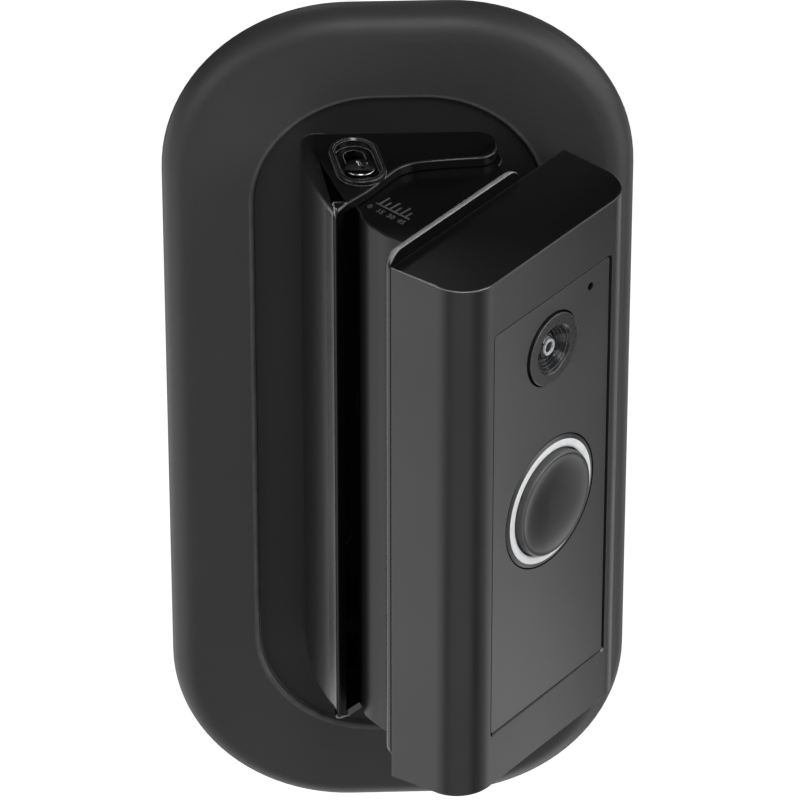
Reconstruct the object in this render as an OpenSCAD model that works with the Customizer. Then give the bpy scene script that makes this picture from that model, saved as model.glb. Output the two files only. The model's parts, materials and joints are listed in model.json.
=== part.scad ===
// Wired video doorbell on a horizontally adjustable angle mount and an oval wall plate.
// Millimetres. Origin: centre of the wall plate's back face. +X right, +Y into the wall, +Z up.

/* [Wall plate] */
// Width of the oval wall plate
plate_w = 78; // [72:1:90]
// Height of the oval wall plate
plate_h = 159; // [150:1:175]
// Thickness of the wall plate
plate_t = 6; // [5.5:0.5:7]
// Corner radius of the wall plate's outline
plate_r = 30.8; // [26:0.2:34]
// Radius of the rounded front rim
rim_r = 5; // [3:0.5:5]
// Depth of the shallow recess in the plate's face
recess_depth = 1.2; // [0.8:0.1:1.5]

/* [Mount base] */
// Height of the fixed base over both flanges
base_h = 102.4; // [98:0.2:106]
// Height of the base's centre above the plate's centre
base_z = 6; // [2:0.5:8]
// How far the base stands out of the recess
base_depth = 23.8; // [22:0.2:26]
// Thickness of the base's top and bottom flanges
flange_t = 1.6; // [1.4:0.1:2]

/* [Swivel] */
// Angle between the doorbell's back and the wall at rest
yaw = 50; // [46:1:50]
// Travel from rest towards the wall, in degrees
swing_in = 15; // [5:1:15]
// Travel from rest away from the wall, in degrees
swing_out = 3; // [0:1:3]
// Distance from the pivot to the lock screws
slot_r = 20.6; // [20:0.1:21]

/* [Doorbell] */
// Width of the doorbell
bell_w = 46; // [45:0.5:47]
// Height of the doorbell
bell_h = 101; // [99:0.5:103]
// Depth of the doorbell's shell
bell_d = 15.5; // [15:0.5:16]
// Radius of the shell's two front upright edges
bell_r = 6.5; // [5:0.5:7]
// Wall thickness of the shell
shell_t = 1.8; // [1.6:0.1:2]
// Width of the inset front panel
panel_w = 31; // [30:0.5:32]
// Height of the inset front panel
panel_h = 78.8; // [77:0.2:80]
// Radius of the bell button's cap
button_r = 9.4; // [9:0.1:10]
// Height of the camera's axis above the doorbell's centre
camera_z = 29.4; // [28:0.2:30]

/* [Hidden] */
$fn = 64;
eps = 0.01;

// Wall plate and recess
recess_w = 47.8;
recess_h = 126.6;
recess_r = 20;
recess_z = 0.8;
floor_y = -(plate_t - recess_depth);
seal_inset = 5;
seal_w = 3;
seal_t = 1;
wall_hole_r = 2.2;
wall_hole_head_r = 4;
wall_hole_z = 38;
cable_hole_r = 6;
cable_bore_r = 4;

// Mount base: left wall leans in from its root to its front edge
base_left = -16.1;
base_right = 16;
base_front_x = -11.9;
base_front_y = floor_y - base_depth;
base_plate_t = 2;
base_wall_t = 1.6;
base_top = base_z + base_h / 2;
inner_top = base_top - flange_t;
tip_y = -13.3;
tip_r = 3.6;
screw_x = 11;
screw_z = 27;

// Pivot and lock slot
pivot = [13.2, -10.8];
pin_r = 1.25;
pin_fit = 0.05;
lock_angle = 195.6;
lock_at = pivot + slot_r * [cos(lock_angle), sin(lock_angle)];
boss_r = 4;
boss_rise = 0.8;
slot_recess_r = 3.1;
slot_recess_d = 0.6;
slot_half_w = 1.7;
lock_shank_r = 1.45;
lock_head_r = 2.6;
lock_head_h = 1.5;
washer_t = 0.4;
lock_seat_z = base_top - slot_recess_d;

// Swivel bracket
arm_gap = 0.2;
arm_t = 2.4;
arm_top = inner_top - arm_gap;
nut_h = 2.4;
back_plate_t = 1.8;
back_plate_left = -22.9;
back_plate_right = 11.5;
back_plate_top = 52.7;
back_plate_bottom = -45.8;
swivel_wall_t = 1.6;
swivel_wall_corner = [-7.1, -28.3];
swivel_wall_joint_x = -16.9;
wire_window_w = 18;
wire_window_h = 40;

// Doorbell frame: local +X along its width, local +Y into its depth, front face at local Y = 0
bell_at = [24, -34.7, 4.3];
panel_r = 0.6;
panel_y = 0.2;
panel_t = 1.8;
panel_back = panel_y + panel_t;
panel_gap = 0.15;
frame_t = 1.6;
frame_back = panel_back + frame_t;
seal_y = 0.4;
housing_front = frame_back + seal_y;
housing_wall = 1.5;
housing_gap = 0.2;
housing_w = bell_w - 2 * shell_t - 2 * housing_gap;
housing_h = bell_h - 2 * shell_t - 2 * housing_gap;
housing_r = 3;
housing_back_t = 1.8;
housing_floor = bell_d - housing_back_t;
board_front = 9.5;
board_t = 1.2;
board_back = board_front + board_t;
board_w = 34;
board_top = 43;
board_bottom = -27;

// Camera
bezel_r = 6.4;
bezel_mouth_r = 4.4;
bezel_lip_r = 3.9;
bezel_bore_r = 4.8;
bezel_proud = 0.3;
bezel_lip_y = 0.7;
barrel_r = 4.7;
barrel_bore_r = 3.2;

// Button and light ring
button_z = -0.6;
button_rise = 1.2;
ring_inner_r = 9.7;
ring_outer_r = 11.85;
collar_inner_r = 12.9;
collar_outer_r = 14.6;
led_board_y = 4.9;
led_board_t = 0.8;
button_lip_r = 10.9;
stem_r = 2.4;
stem_end = 6.8;
plunger_r = 1.6;
travel = 0.6;
switch_front = 7.6;

// Sound
mic_at = [10.3, 36.15];
port_r = 0.6;
speaker_z = -38;

// ---------- shared shapes ----------

module rounded_rect(w, h, r) {
    square([w - 2 * r, h], center = true);
    square([w, h - 2 * r], center = true);
    for (sx = [-1, 1], sz = [-1, 1])
        translate([sx * (w / 2 - r), sz * (h / 2 - r)])
            circle(r);
}

// Upright plate in the XZ plane, from y0 to y1
module upright(y0, y1) {
    translate([0, y1, 0])
        rotate([90, 0, 0])
            linear_extrude(y1 - y0)
                children();
}

// Round bar along Y
module bar_y(r, y0, y1, x = 0, z = 0) {
    translate([x, y0, z])
        rotate([-90, 0, 0])
            cylinder(r = r, h = y1 - y0);
}

// Tapered round bar along Y, such as a countersink
module cone_y(r0, r1, y0, y1, x = 0, z = 0) {
    translate([x, y0, z])
        rotate([-90, 0, 0])
            cylinder(r1 = r0, r2 = r1, h = y1 - y0);
}

module block(x0, x1, y0, y1, z0, z1) {
    translate([x0, y0, z0])
        cube([x1 - x0, y1 - y0, z1 - z0]);
}

// Places doorbell pieces, which are drawn in the doorbell's own frame
module in_bell() {
    translate(bell_at)
        rotate([0, 0, yaw])
            children();
}

// A second copy below the base's middle plane
module below() {
    translate([0, 0, 2 * base_z])
        mirror([0, 0, 1])
            children();
}

// ---------- wall plate ----------

// Cross-section of the plate's rim: x is the distance out from the straight core, y is the height
module rim_section() {
    intersection() {
        square([rim_r, plate_t]);
        union() {
            square([rim_r, plate_t - rim_r]);
            translate([0, plate_t - rim_r])
                circle(rim_r);
        }
    }
}

module plate_blank() {
    core_w = plate_w - 2 * rim_r;
    core_h = plate_h - 2 * rim_r;
    core_r = plate_r - rim_r;
    upright(-plate_t, 0)
        rounded_rect(core_w, core_h, core_r);
    for (sx = [0, 1], sz = [0, 1])
        mirror([sx, 0, 0])
            mirror([0, 0, sz])
                translate([core_w / 2 - core_r, 0, core_h / 2 - core_r])
                    rotate([90, 0, 0])
                        rotate_extrude(angle = 90)
                            translate([core_r, 0])
                                rim_section();
    for (sx = [0, 1])
        mirror([sx, 0, 0])
            translate([core_w / 2, 0, -core_h / 2 + core_r])
                linear_extrude(core_h - 2 * core_r)
                    mirror([0, 1])
                        rim_section();
    for (sz = [0, 1])
        mirror([0, 0, sz])
            translate([-core_w / 2 + core_r, 0, core_h / 2])
                rotate([0, 90, 0])
                    linear_extrude(core_w - 2 * core_r)
                        rotate(180)
                            rim_section();
}

module seal_ring(y0, y1) {
    upright(y0, y1)
        difference() {
            rounded_rect(plate_w - 2 * seal_inset, plate_h - 2 * seal_inset, plate_r - seal_inset);
            rounded_rect(plate_w - 2 * (seal_inset + seal_w), plate_h - 2 * (seal_inset + seal_w),
                         plate_r - seal_inset - seal_w);
        }
}

module wall_holes(y0, y1) {
    for (s = [-1, 1])
        bar_y(wall_hole_r, y0, y1, 0, base_z + s * wall_hole_z);
}

module base_screw_places() {
    for (sx = [-1, 1], sz = [-1, 1])
        translate([sx * screw_x, 0, base_z + sz * screw_z])
            children();
}

module wall_plate() {
    thread_r = 1.4;
    thread_depth = 3.6;
    color([0.13, 0.13, 0.135])
        difference() {
            plate_blank();
            translate([0, 0, recess_z])
                upright(-plate_t - eps, floor_y)
                    rounded_rect(recess_w, recess_h, recess_r);
            seal_ring(-seal_t, eps);
            wall_holes(-plate_t, eps);
            bar_y(cable_hole_r, -plate_t, eps, 0, base_z);
            base_screw_places()
                bar_y(thread_r, floor_y - eps, floor_y + thread_depth);
        }
}

module wall_seal() {
    color([0.05, 0.05, 0.05])
        seal_ring(-seal_t, 0);
}

module cable_grommet() {
    lip = 1.2;
    lip_t = 0.8;
    color([0.03, 0.03, 0.03])
        difference() {
            union() {
                bar_y(cable_hole_r, floor_y - base_plate_t, 0, 0, base_z);
                bar_y(cable_hole_r + lip, floor_y - base_plate_t - lip_t, floor_y - base_plate_t, 0, base_z);
            }
            bar_y(cable_bore_r, floor_y - base_plate_t - lip_t - eps, eps, 0, base_z);
        }
}

// ---------- fixed base ----------

// Plan outline of the base's flanges: a broad left end, a swept front edge and a narrow tip
module base_outline() {
    sweep_r = 9;
    difference() {
        union() {
            polygon([[base_left, floor_y], [base_right - tip_r, floor_y],
                     [base_right - tip_r, tip_y], [2.5, tip_y - 0.8],
                     [-3.5, -20.2], [-9.6, -26.2], [base_front_x + 0.8, base_front_y],
                     [base_front_x, base_front_y]]);
            translate([base_right - tip_r, floor_y - tip_r])
                circle(tip_r);
            translate([base_right - tip_r, tip_y + tip_r])
                circle(tip_r);
            translate([base_right - 2 * tip_r, tip_y + tip_r])
                square([2 * tip_r, floor_y - tip_y - 2 * tip_r]);
        }
        translate([5.6, tip_y - 0.5 - sweep_r])
            circle(sweep_r);
    }
}

// Plan outline of the base's leaning left wall
module base_wall_outline() {
    polygon([[base_left, floor_y], [base_left + base_wall_t, floor_y],
             [base_front_x + base_wall_t, base_front_y], [base_front_x, base_front_y]]);
}

// Slot that the lock screw travels in: a chord of its circle about the pivot, moved out by half the arc's rise
module arc_slot(half_w) {
    first = lock_angle - swing_in;
    last = lock_angle + swing_out;
    middle = (first + last) / 2;
    half_span = (last - first) / 2;
    rise = slot_r * (1 - cos(half_span));
    half_run = slot_r * sin(half_span);
    translate(pivot + (slot_r - rise / 2) * [cos(middle), sin(middle)])
        rotate(middle) {
            square([2 * half_w, 2 * half_run], center = true);
            for (s = [-1, 1])
                translate([0, s * half_run])
                    circle(half_w);
        }
}

module base_flange() {
    blind = 0.6;
    difference() {
        union() {
            translate([0, 0, inner_top])
                linear_extrude(flange_t)
                    base_outline();
            translate([0, 0, inner_top])
                linear_extrude(flange_t + boss_rise)
                    arc_slot(boss_r);
        }
        translate([0, 0, inner_top - eps])
            linear_extrude(flange_t + boss_rise + 1)
                arc_slot(slot_half_w);
        translate([0, 0, lock_seat_z])
            linear_extrude(boss_rise + 1)
                arc_slot(slot_recess_r);
        translate([pivot[0], pivot[1], inner_top - 1])
            cylinder(r = pin_r, h = 1 + flange_t - blind);
    }
}

module mount_base() {
    head_r = 3;
    shank_r = 1.6;
    plate_front = floor_y - base_plate_t;
    color([0.07, 0.07, 0.075])
        difference() {
            union() {
                base_flange();
                below()
                    base_flange();
                translate([0, 0, base_z - base_h / 2])
                    linear_extrude(base_h)
                        base_wall_outline();
                block(base_left, base_right - tip_r, plate_front, floor_y,
                      base_z - base_h / 2, base_top);
            }
            wall_holes(plate_front - eps, floor_y + eps);
            bar_y(cable_hole_r, plate_front - eps, floor_y + eps, 0, base_z);
            base_screw_places() {
                bar_y(shank_r, plate_front - eps, floor_y + eps);
                cone_y(head_r, shank_r, plate_front - eps, plate_front + head_r - shank_r);
            }
        }
}

module base_screws() {
    head_r = 2.9;
    shank_r = 1.4;
    length = 5.2;
    plate_front = floor_y - base_plate_t;
    color([0.1, 0.1, 0.105])
        base_screw_places()
            difference() {
                union() {
                    cone_y(head_r, shank_r, plate_front + 0.05, plate_front + head_r - shank_r + 0.05);
                    bar_y(shank_r, plate_front + 0.05, plate_front + length);
                }
                cross_recess_y(plate_front + 0.05);
            }
}

// Cross recess for a screwdriver in a head that faces -Y at y
module cross_recess_y(y) {
    for (a = [0, 90])
        translate([0, y, 0])
            rotate([0, a, 0])
                translate([-1.4, -eps, -0.3])
                    cube([2.8, 0.8, 0.6]);
}

module pivot_pin() {
    blind = 0.6;
    translate([pivot[0], pivot[1], arm_top - arm_t])
        cylinder(r = pin_r, h = arm_t + arm_gap + flange_t - blind);
}

module pivot_pins() {
    color([0.6, 0.6, 0.62]) {
        pivot_pin();
        below()
            pivot_pin();
    }
}

// ---------- swivel bracket ----------

// A point of the doorbell's frame, given along its width and its depth, in plan
function plan(a, d) = [bell_at[0] + a * cos(yaw) - d * sin(yaw), bell_at[1] + a * sin(yaw) + d * cos(yaw)];

module arm_outline() {
    lug_r = 3.6;
    pad_r = 3.6;
    rear = bell_d + back_plate_t - 0.2;
    polygon([plan(swivel_wall_joint_x, rear), swivel_wall_corner, [-10.9, -19.2],
             [-10.2, -14.6], [-6, -13.2], pivot + [-2, 3], pivot + [2, 3], plan(back_plate_right, rear)]);
    translate(pivot)
        circle(lug_r);
    translate(lock_at)
        circle(pad_r);
}

// Engraved angle scale on the swivel's top, read against the base's front edge
module angle_scale(top) {
    tick_count = 6;
    tick_w = 0.3;
    line_at = [-4.0, -24.0];
    line_turn = -45;
    pitch = 1.15;
    translate([line_at[0], line_at[1], top - 0.25])
        rotate([0, 0, line_turn]) {
            translate([-0.5, -tick_w / 2, 0])
                cube([tick_count * pitch, tick_w, 0.5]);
            for (i = [0 : tick_count - 1])
                translate([i * pitch, 0, 0])
                    cube([tick_w, i % 2 == 0 ? 2.4 : 1.5, 0.5]);
        }
}

module arm() {
    difference() {
        translate([0, 0, arm_top - arm_t])
            linear_extrude(arm_t)
                arm_outline();
        translate([pivot[0], pivot[1], arm_top - arm_t - 1])
            cylinder(r = pin_r + pin_fit, h = arm_t + 2);
        translate([lock_at[0], lock_at[1], arm_top - arm_t - 1])
            cylinder(r = lock_shank_r + pin_fit, h = arm_t + 2);
    }
}

module mounting_places() {
    for (s = [-1, 1])
        translate([-3, 0, s * 37])
            children();
}

module swivel_bracket() {
    wall_bottom = 2 * base_z - arm_top;
    corner_r = 3;
    boss_y = 3;
    joint = plan(swivel_wall_joint_x, bell_d + back_plate_t);
    along = (joint - swivel_wall_corner) / norm(joint - swivel_wall_corner);
    inward = [-along[1], along[0]];
    color([0.08, 0.08, 0.085])
        difference() {
            union() {
                arm();
                below()
                    arm();
                translate([0, 0, wall_bottom])
                    linear_extrude(arm_top - wall_bottom)
                        polygon([swivel_wall_corner, joint,
                                 joint + swivel_wall_t * inward,
                                 swivel_wall_corner + swivel_wall_t * inward]);
                in_bell() {
                    translate([(back_plate_left + back_plate_right) / 2, 0,
                               (back_plate_top + back_plate_bottom) / 2])
                        upright(bell_d, bell_d + back_plate_t)
                            rounded_rect(back_plate_right - back_plate_left,
                                         back_plate_top - back_plate_bottom, corner_r);
                    mounting_places()
                        bar_y(3, bell_d + 1, bell_d + back_plate_t + boss_y);
                }
            }
            angle_scale(arm_top);
            in_bell() {
                mounting_places()
                    bar_y(1.5, bell_d - eps, bell_d + back_plate_t + boss_y + eps);
                translate([-3, 0, 4])
                    upright(bell_d - eps, bell_d + back_plate_t + eps)
                        rounded_rect(wire_window_w, wire_window_h, 3);
            }
        }
}

module lock_nut() {
    translate([lock_at[0], lock_at[1], arm_top - arm_t - nut_h])
        difference() {
            cylinder(r = 3, h = nut_h, $fn = 6);
            translate([0, 0, -1])
                cylinder(r = lock_shank_r + pin_fit, h = nut_h + 2);
        }
}

module lock_nuts() {
    color([0.6, 0.6, 0.62]) {
        lock_nut();
        below()
            lock_nut();
    }
}

module lock_washer() {
    translate([lock_at[0], lock_at[1], lock_seat_z])
        difference() {
            cylinder(r = lock_head_r + 0.2, h = washer_t);
            translate([0, 0, -1])
                cylinder(r = lock_shank_r, h = 3);
        }
}

module lock_washer_top() {
    color([0.5, 0.5, 0.52])
        lock_washer();
}

module lock_washer_bottom() {
    color([0.5, 0.5, 0.52])
        below()
            lock_washer();
}

module lock_screw() {
    seat = lock_seat_z + washer_t;
    tip = arm_top - arm_t - nut_h - 0.8;
    dome = 1.6;
    difference() {
        union() {
            translate([lock_at[0], lock_at[1], tip])
                cylinder(r = lock_shank_r, h = seat - tip + eps);
            translate([lock_at[0], lock_at[1], seat])
                cylinder(r = lock_head_r, h = lock_head_h - 0.5);
            translate([lock_at[0], lock_at[1], seat + lock_head_h - 0.5])
                cylinder(r1 = lock_head_r, r2 = dome, h = 0.5);
        }
        for (a = [0, 90])
            translate([lock_at[0], lock_at[1], seat + lock_head_h - 0.9])
                rotate([0, 0, a + 20])
                    translate([-1.3, -0.25, 0])
                        cube([2.6, 0.5, 2]);
    }
}

module lock_screw_top() {
    color([0.12, 0.12, 0.12])
        lock_screw();
}

module lock_screw_bottom() {
    color([0.12, 0.12, 0.12])
        below()
            lock_screw();
}

// ---------- doorbell shell ----------

// Room inside the shell for the parts that are as wide as the doorbell
module housing_envelope() {
    front = shell_t + housing_gap;
    translate([0, front, -housing_h / 2])
        linear_extrude(housing_h)
            shell_outline(housing_w, bell_d - front, bell_r - front);
}

// Plan outline of the shell: square at the back, rounded at the front
module shell_outline(w, d, r) {
    translate([-w / 2, r])
        square([w, d - r]);
    translate([-w / 2 + r, 0])
        square([w - 2 * r, r + eps]);
    for (s = [-1, 1])
        translate([s * (w / 2 - r), r])
            circle(r);
}

module outer_shell() {
    inner_w = bell_w - 2 * shell_t;
    inner_h = bell_h - 2 * shell_t;
    sound_slots = 5;
    color([0.16, 0.16, 0.165])
        in_bell()
            difference() {
                translate([0, 0, -bell_h / 2])
                    linear_extrude(bell_h)
                        shell_outline(bell_w, bell_d, bell_r);
                translate([0, shell_t, -inner_h / 2])
                    linear_extrude(inner_h)
                        shell_outline(inner_w, bell_d, bell_r - shell_t);
                upright(-eps, shell_t + 1)
                    rounded_rect(panel_w + 2 * panel_gap, panel_h + 2 * panel_gap, panel_r);
                for (i = [0 : sound_slots - 1])
                    block(-9 + i * 4, -7 + i * 4, 6, 9, -bell_h / 2 - eps, -bell_h / 2 + shell_t + eps);
                translate([0, 12.2, -bell_h / 2 - eps])
                    cylinder(r = 1.6, h = shell_t + 2 * eps);
            }
}

module security_screw() {
    head_r = 2.4;
    head_h = 1.2;
    color([0.25, 0.25, 0.26])
        in_bell()
            translate([0, 12.2, -bell_h / 2])
                difference() {
                    union() {
                        translate([0, 0, -head_h])
                            cylinder(r = head_r, h = head_h);
                        cylinder(r = 1.2, h = 5);
                    }
                    translate([0, 0, -head_h - eps])
                        cylinder(r = 1, h = 0.8, $fn = 6);
                }
}

module front_panel() {
    color([0.14, 0.14, 0.145])
        in_bell()
            difference() {
                upright(panel_y, panel_back)
                    rounded_rect(panel_w, panel_h, panel_r);
                bar_y(bezel_r + 0.1, panel_y - 1, panel_back + 1, 0, camera_z);
                bar_y(ring_outer_r + 0.15, panel_y - 1, panel_back + 1, 0, button_z);
                bar_y(port_r, panel_y - 1, panel_back + 1, mic_at[0], mic_at[1]);
            }
}

module inner_frame() {
    boss_r = 2.6;
    color([0.2, 0.2, 0.21])
        in_bell()
            difference() {
                union() {
                    intersection() {
                        upright(panel_back, frame_back)
                            rounded_rect(housing_w, housing_h, housing_r);
                        housing_envelope();
                    }
                    bar_y(collar_outer_r, frame_back - eps, led_board_y, 0, button_z);
                    housing_screw_places()
                        bar_y(boss_r, frame_back - eps, housing_front + 2.5);
                }
                bar_y(bezel_r + 0.1, panel_back - 1, frame_back + 1, 0, camera_z);
                bar_y(ring_outer_r + 0.15, panel_back - 1, frame_back - 0.4, 0, button_z);
                bar_y(collar_inner_r, frame_back - 0.4, led_board_y + 1, 0, button_z);
                bar_y(port_r + 0.2, panel_back - 1, frame_back + 1, mic_at[0], mic_at[1]);
                housing_screw_places()
                    bar_y(0.9, frame_back, housing_front + 3);
            }
}

module housing_screw_places() {
    for (sx = [-1, 1], sz = [-1, 1])
        translate([sx * 16.5, 0, sz * 43.5])
            children();
}

module board_screw_places() {
    for (sx = [-1, 1], z = [39, -23.5])
        translate([sx * 13.5, 0, z])
            children();
}

module housing_seal() {
    color([0.05, 0.05, 0.05])
        in_bell()
            intersection() {
                upright(frame_back, housing_front)
                    difference() {
                        rounded_rect(housing_w, housing_h, housing_r);
                        rounded_rect(housing_w - 2 * housing_wall, housing_h - 2 * housing_wall,
                                     housing_r - housing_wall);
                    }
                housing_envelope();
            }
}

module rear_housing() {
    cavity_w = housing_w - 2 * housing_wall;
    cavity_h = housing_h - 2 * housing_wall;
    color([0.15, 0.15, 0.155])
        in_bell()
            difference() {
                union() {
                    difference() {
                        intersection() {
                            upright(housing_front, bell_d)
                                rounded_rect(housing_w, housing_h, housing_r);
                            housing_envelope();
                        }
                        upright(housing_front - eps, housing_floor)
                            rounded_rect(cavity_w, cavity_h, housing_r - housing_wall);
                    }
                    housing_screw_places()
                        bar_y(2.6, housing_front + 2.5, housing_floor + eps);
                    board_screw_places()
                        bar_y(2.2, board_back, housing_floor + eps);
                    block(-3, 3, 10, housing_floor + eps, -housing_h / 2, -housing_h / 2 + 4);
                }
                housing_screw_places() {
                    bar_y(1.1, housing_front, bell_d + 1);
                    bar_y(2.1, housing_floor, bell_d + 1);
                }
                board_screw_places()
                    bar_y(0.8, board_back - 1, housing_floor - 0.4);
                mounting_places()
                    bar_y(1.7, housing_floor - 1, bell_d + 1);
                block(-10, 10, housing_floor - 1, bell_d + 1, -5, 13);
                for (i = [0 : 4])
                    block(-9 + i * 4, -7 + i * 4, 6, 9, -housing_h / 2 - eps, -housing_h / 2 + housing_wall + 1);
                translate([0, 12.2, -housing_h / 2 - eps])
                    cylinder(r = 1.2, h = 5);
            }
}

module housing_screws() {
    color([0.6, 0.6, 0.62])
        in_bell()
            housing_screw_places()
                difference() {
                    union() {
                        bar_y(2, housing_floor, bell_d - 0.3);
                        bar_y(0.9, frame_back, housing_floor + eps);
                    }
                    translate([0, bell_d - 1.1, 0])
                        rotate([-90, 0, 0])
                            cylinder(r = 0.9, h = 2, $fn = 6);
                }
}

module mounting_screws() {
    color([0.6, 0.6, 0.62])
        in_bell()
            mounting_places()
                difference() {
                    union() {
                        bar_y(2.6, housing_floor - 1.6, housing_floor);
                        bar_y(1.5, housing_floor - eps, bell_d + back_plate_t + 2.6);
                    }
                    cross_recess_y(housing_floor - 1.6);
                }
}

// ---------- camera ----------

module lens_bezel() {
    color([0.05, 0.05, 0.055])
        in_bell()
            difference() {
                bar_y(bezel_r, -bezel_proud, frame_back + 1, 0, camera_z);
                cone_y(bezel_mouth_r, bezel_lip_r, -bezel_proud - eps, bezel_lip_y, 0, camera_z);
                bar_y(bezel_bore_r, bezel_lip_y, frame_back + 2, 0, camera_z);
            }
}

module lens_barrel() {
    front = bezel_lip_y + 0.05;
    back = 8;
    cone_depth = 0.6;
    color([0.04, 0.04, 0.045])
        in_bell()
            difference() {
                bar_y(barrel_r, front, back, 0, camera_z);
                cone_y(bezel_lip_r, barrel_bore_r, front - eps, front + cone_depth, 0, camera_z);
                bar_y(barrel_bore_r, front + cone_depth - 0.1, front + 2, 0, camera_z);
                bar_y(2.8, front + 1.9, back + 1, 0, camera_z);
            }
}

module cover_lens() {
    color([0.2, 0.22, 0.25])
        in_bell()
            bar_y(3.1, 1.5, 2.6, 0, camera_z);
}

module lens_elements() {
    thick = 0.9;
    gap = 1.5;
    color([0.3, 0.32, 0.38])
        in_bell()
            for (i = [0 : 2])
                bar_y(2.7, 3.4 + i * gap, 3.4 + i * gap + thick, 0, camera_z);
}

module camera_holder() {
    half = 7;
    color([0.1, 0.1, 0.1])
        in_bell()
            difference() {
                block(-half, half, 6.2, board_front, camera_z - half, camera_z + half);
                bar_y(barrel_r + 0.02, 5, 8, 0, camera_z);
                block(-4.5, 4.5, 8 - eps, board_front + 1, camera_z - 4.5, camera_z + 4.5);
            }
}

module image_sensor() {
    color([0.15, 0.2, 0.16])
        in_bell()
            block(-3.5, 3.5, board_front - 0.8, board_front, camera_z - 3.5, camera_z + 3.5);
}

// ---------- button and light ring ----------

module light_ring() {
    proud = 0.1;
    color([0.75, 0.76, 0.77])
        in_bell()
            difference() {
                bar_y(ring_outer_r, -proud, frame_back - 0.4, 0, button_z);
                bar_y(ring_inner_r, -proud - 1, frame_back + 1, 0, button_z);
            }
}

module led_board() {
    color([0.05, 0.22, 0.12])
        in_bell()
            difference() {
                bar_y(collar_outer_r, led_board_y, led_board_y + led_board_t, 0, button_z);
                bar_y(button_lip_r + 0.3, led_board_y - 1, led_board_y + led_board_t + 1, 0, button_z);
            }
}

module led_chips() {
    count = 8;
    chip = 1.2;
    chip_t = 0.7;
    color([0.9, 0.88, 0.7])
        in_bell()
            translate([0, led_board_y - chip_t, button_z])
                for (i = [0 : count - 1])
                    rotate([0, (i + 0.5) * 360 / count, 0])
                        translate([12 - chip / 2, 0, -chip / 2])
                            cube([chip, chip_t, chip]);
}

module led_cable() {
    color([0.55, 0.35, 0.1])
        in_bell()
            block(11.9, 12.2, led_board_y + led_board_t, board_front, button_z - 8, button_z - 3);
}

module button_cap() {
    lip_front = 3.9;
    lip_back = 4.7;
    dish_r = 46;
    color([0.16, 0.16, 0.165])
        in_bell()
            difference() {
                union() {
                    bar_y(button_r, -button_rise, lip_front + eps, 0, button_z);
                    bar_y(button_lip_r, lip_front, lip_back, 0, button_z);
                    bar_y(stem_r, lip_back - eps, stem_end, 0, button_z);
                }
                translate([0, -button_rise - dish_r + 0.8, button_z])
                    sphere(dish_r, $fn = 120);
            }
}

module button_seal() {
    color([0.3, 0.3, 0.31])
        in_bell()
            difference() {
                union() {
                    bar_y(8, 8.4, board_front, 0, button_z);
                    bar_y(6.2, 6, 8.5, 0, button_z);
                }
                bar_y(5.2, 5, board_front + 1, 0, button_z);
            }
}

module switch_body() {
    half = 3;
    color([0.1, 0.1, 0.1])
        in_bell()
            difference() {
                block(-half, half, switch_front, board_front, button_z - half, button_z + half);
                bar_y(plunger_r + pin_fit, switch_front - 1, switch_front + 1.6, 0, button_z);
            }
}

module switch_plunger() {
    color([0.7, 0.1, 0.1])
        in_bell()
            bar_y(plunger_r, stem_end, switch_front + 0.9, 0, button_z);
}

// ---------- electronics ----------

module main_board() {
    color([0.04, 0.2, 0.1])
        in_bell()
            difference() {
                block(-board_w / 2, board_w / 2, board_front, board_back, board_bottom, board_top);
                board_screw_places()
                    bar_y(1.1, board_front - 1, board_back + 1);
                housing_screw_places()
                    bar_y(3, board_front - 1, board_back + 1);
            }
}

module board_screws() {
    color([0.65, 0.65, 0.67])
        in_bell()
            board_screw_places()
                difference() {
                    union() {
                        bar_y(1.7, board_front - 1, board_front);
                        bar_y(0.8, board_front - eps, housing_floor - 0.5);
                    }
                    translate([0, board_front - 1 - eps, 0])
                        rotate([-90, 0, 0])
                            cylinder(r = 0.8, h = 0.6, $fn = 6);
                }
}

module microphone() {
    color([0.75, 0.72, 0.55])
        in_bell()
            difference() {
                block(mic_at[0] - 1.9, mic_at[0] + 1.9, board_front - 1.1, board_front,
                      mic_at[1] - 1.4, mic_at[1] + 1.4);
                bar_y(0.4, board_front - 1.2, board_front - 0.6, mic_at[0], mic_at[1]);
            }
}

module mic_gasket() {
    color([0.1, 0.1, 0.1])
        in_bell()
            difference() {
                bar_y(1.9, frame_back, board_front - 1.1, mic_at[0], mic_at[1]);
                bar_y(0.9, frame_back - 1, board_front, mic_at[0], mic_at[1]);
            }
}

module speaker() {
    half_w = 11;
    half_h = 7;
    color([0.12, 0.12, 0.13])
        in_bell()
            difference() {
                block(-half_w, half_w, 5, 9.8, speaker_z - half_h, speaker_z + half_h);
                block(-half_w + 1.2, half_w - 1.2, 6.2, 8.6, speaker_z - half_h - eps, speaker_z - half_h + 1);
            }
}

module speaker_gasket() {
    low = -housing_h / 2 + housing_wall;
    color([0.06, 0.06, 0.06])
        in_bell()
            difference() {
                block(-11, 11, 5, 9.8, low, speaker_z - 7);
                block(-9.8, 9.8, 6.1, 8.7, low - 1, speaker_z - 6);
            }
}

module terminal_block() {
    color([0.08, 0.08, 0.09])
        in_bell()
            difference() {
                block(-9, 9, board_back, 14.2, -3, 9);
                for (s = [-1, 1])
                    bar_y(1.4, 12, 15, s * 5, 3);
            }
}

module terminal_screws() {
    color([0.72, 0.62, 0.35])
        in_bell()
            for (s = [-1, 1])
                translate([s * 5, 0, 3])
                    difference() {
                        union() {
                            bar_y(3, 14.2, 15.3);
                            bar_y(1.4, 12, 14.21);
                        }
                        block(-2.4, 2.4, 14.9, 16, -0.35, 0.35);
                    }
}

module power_inductor() {
    color([0.2, 0.2, 0.22])
        in_bell()
            difference() {
                block(-13, -5, board_back, 13.4, 20, 28);
                bar_y(2.6, 13, 14, -9, 24);
            }
}

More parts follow.
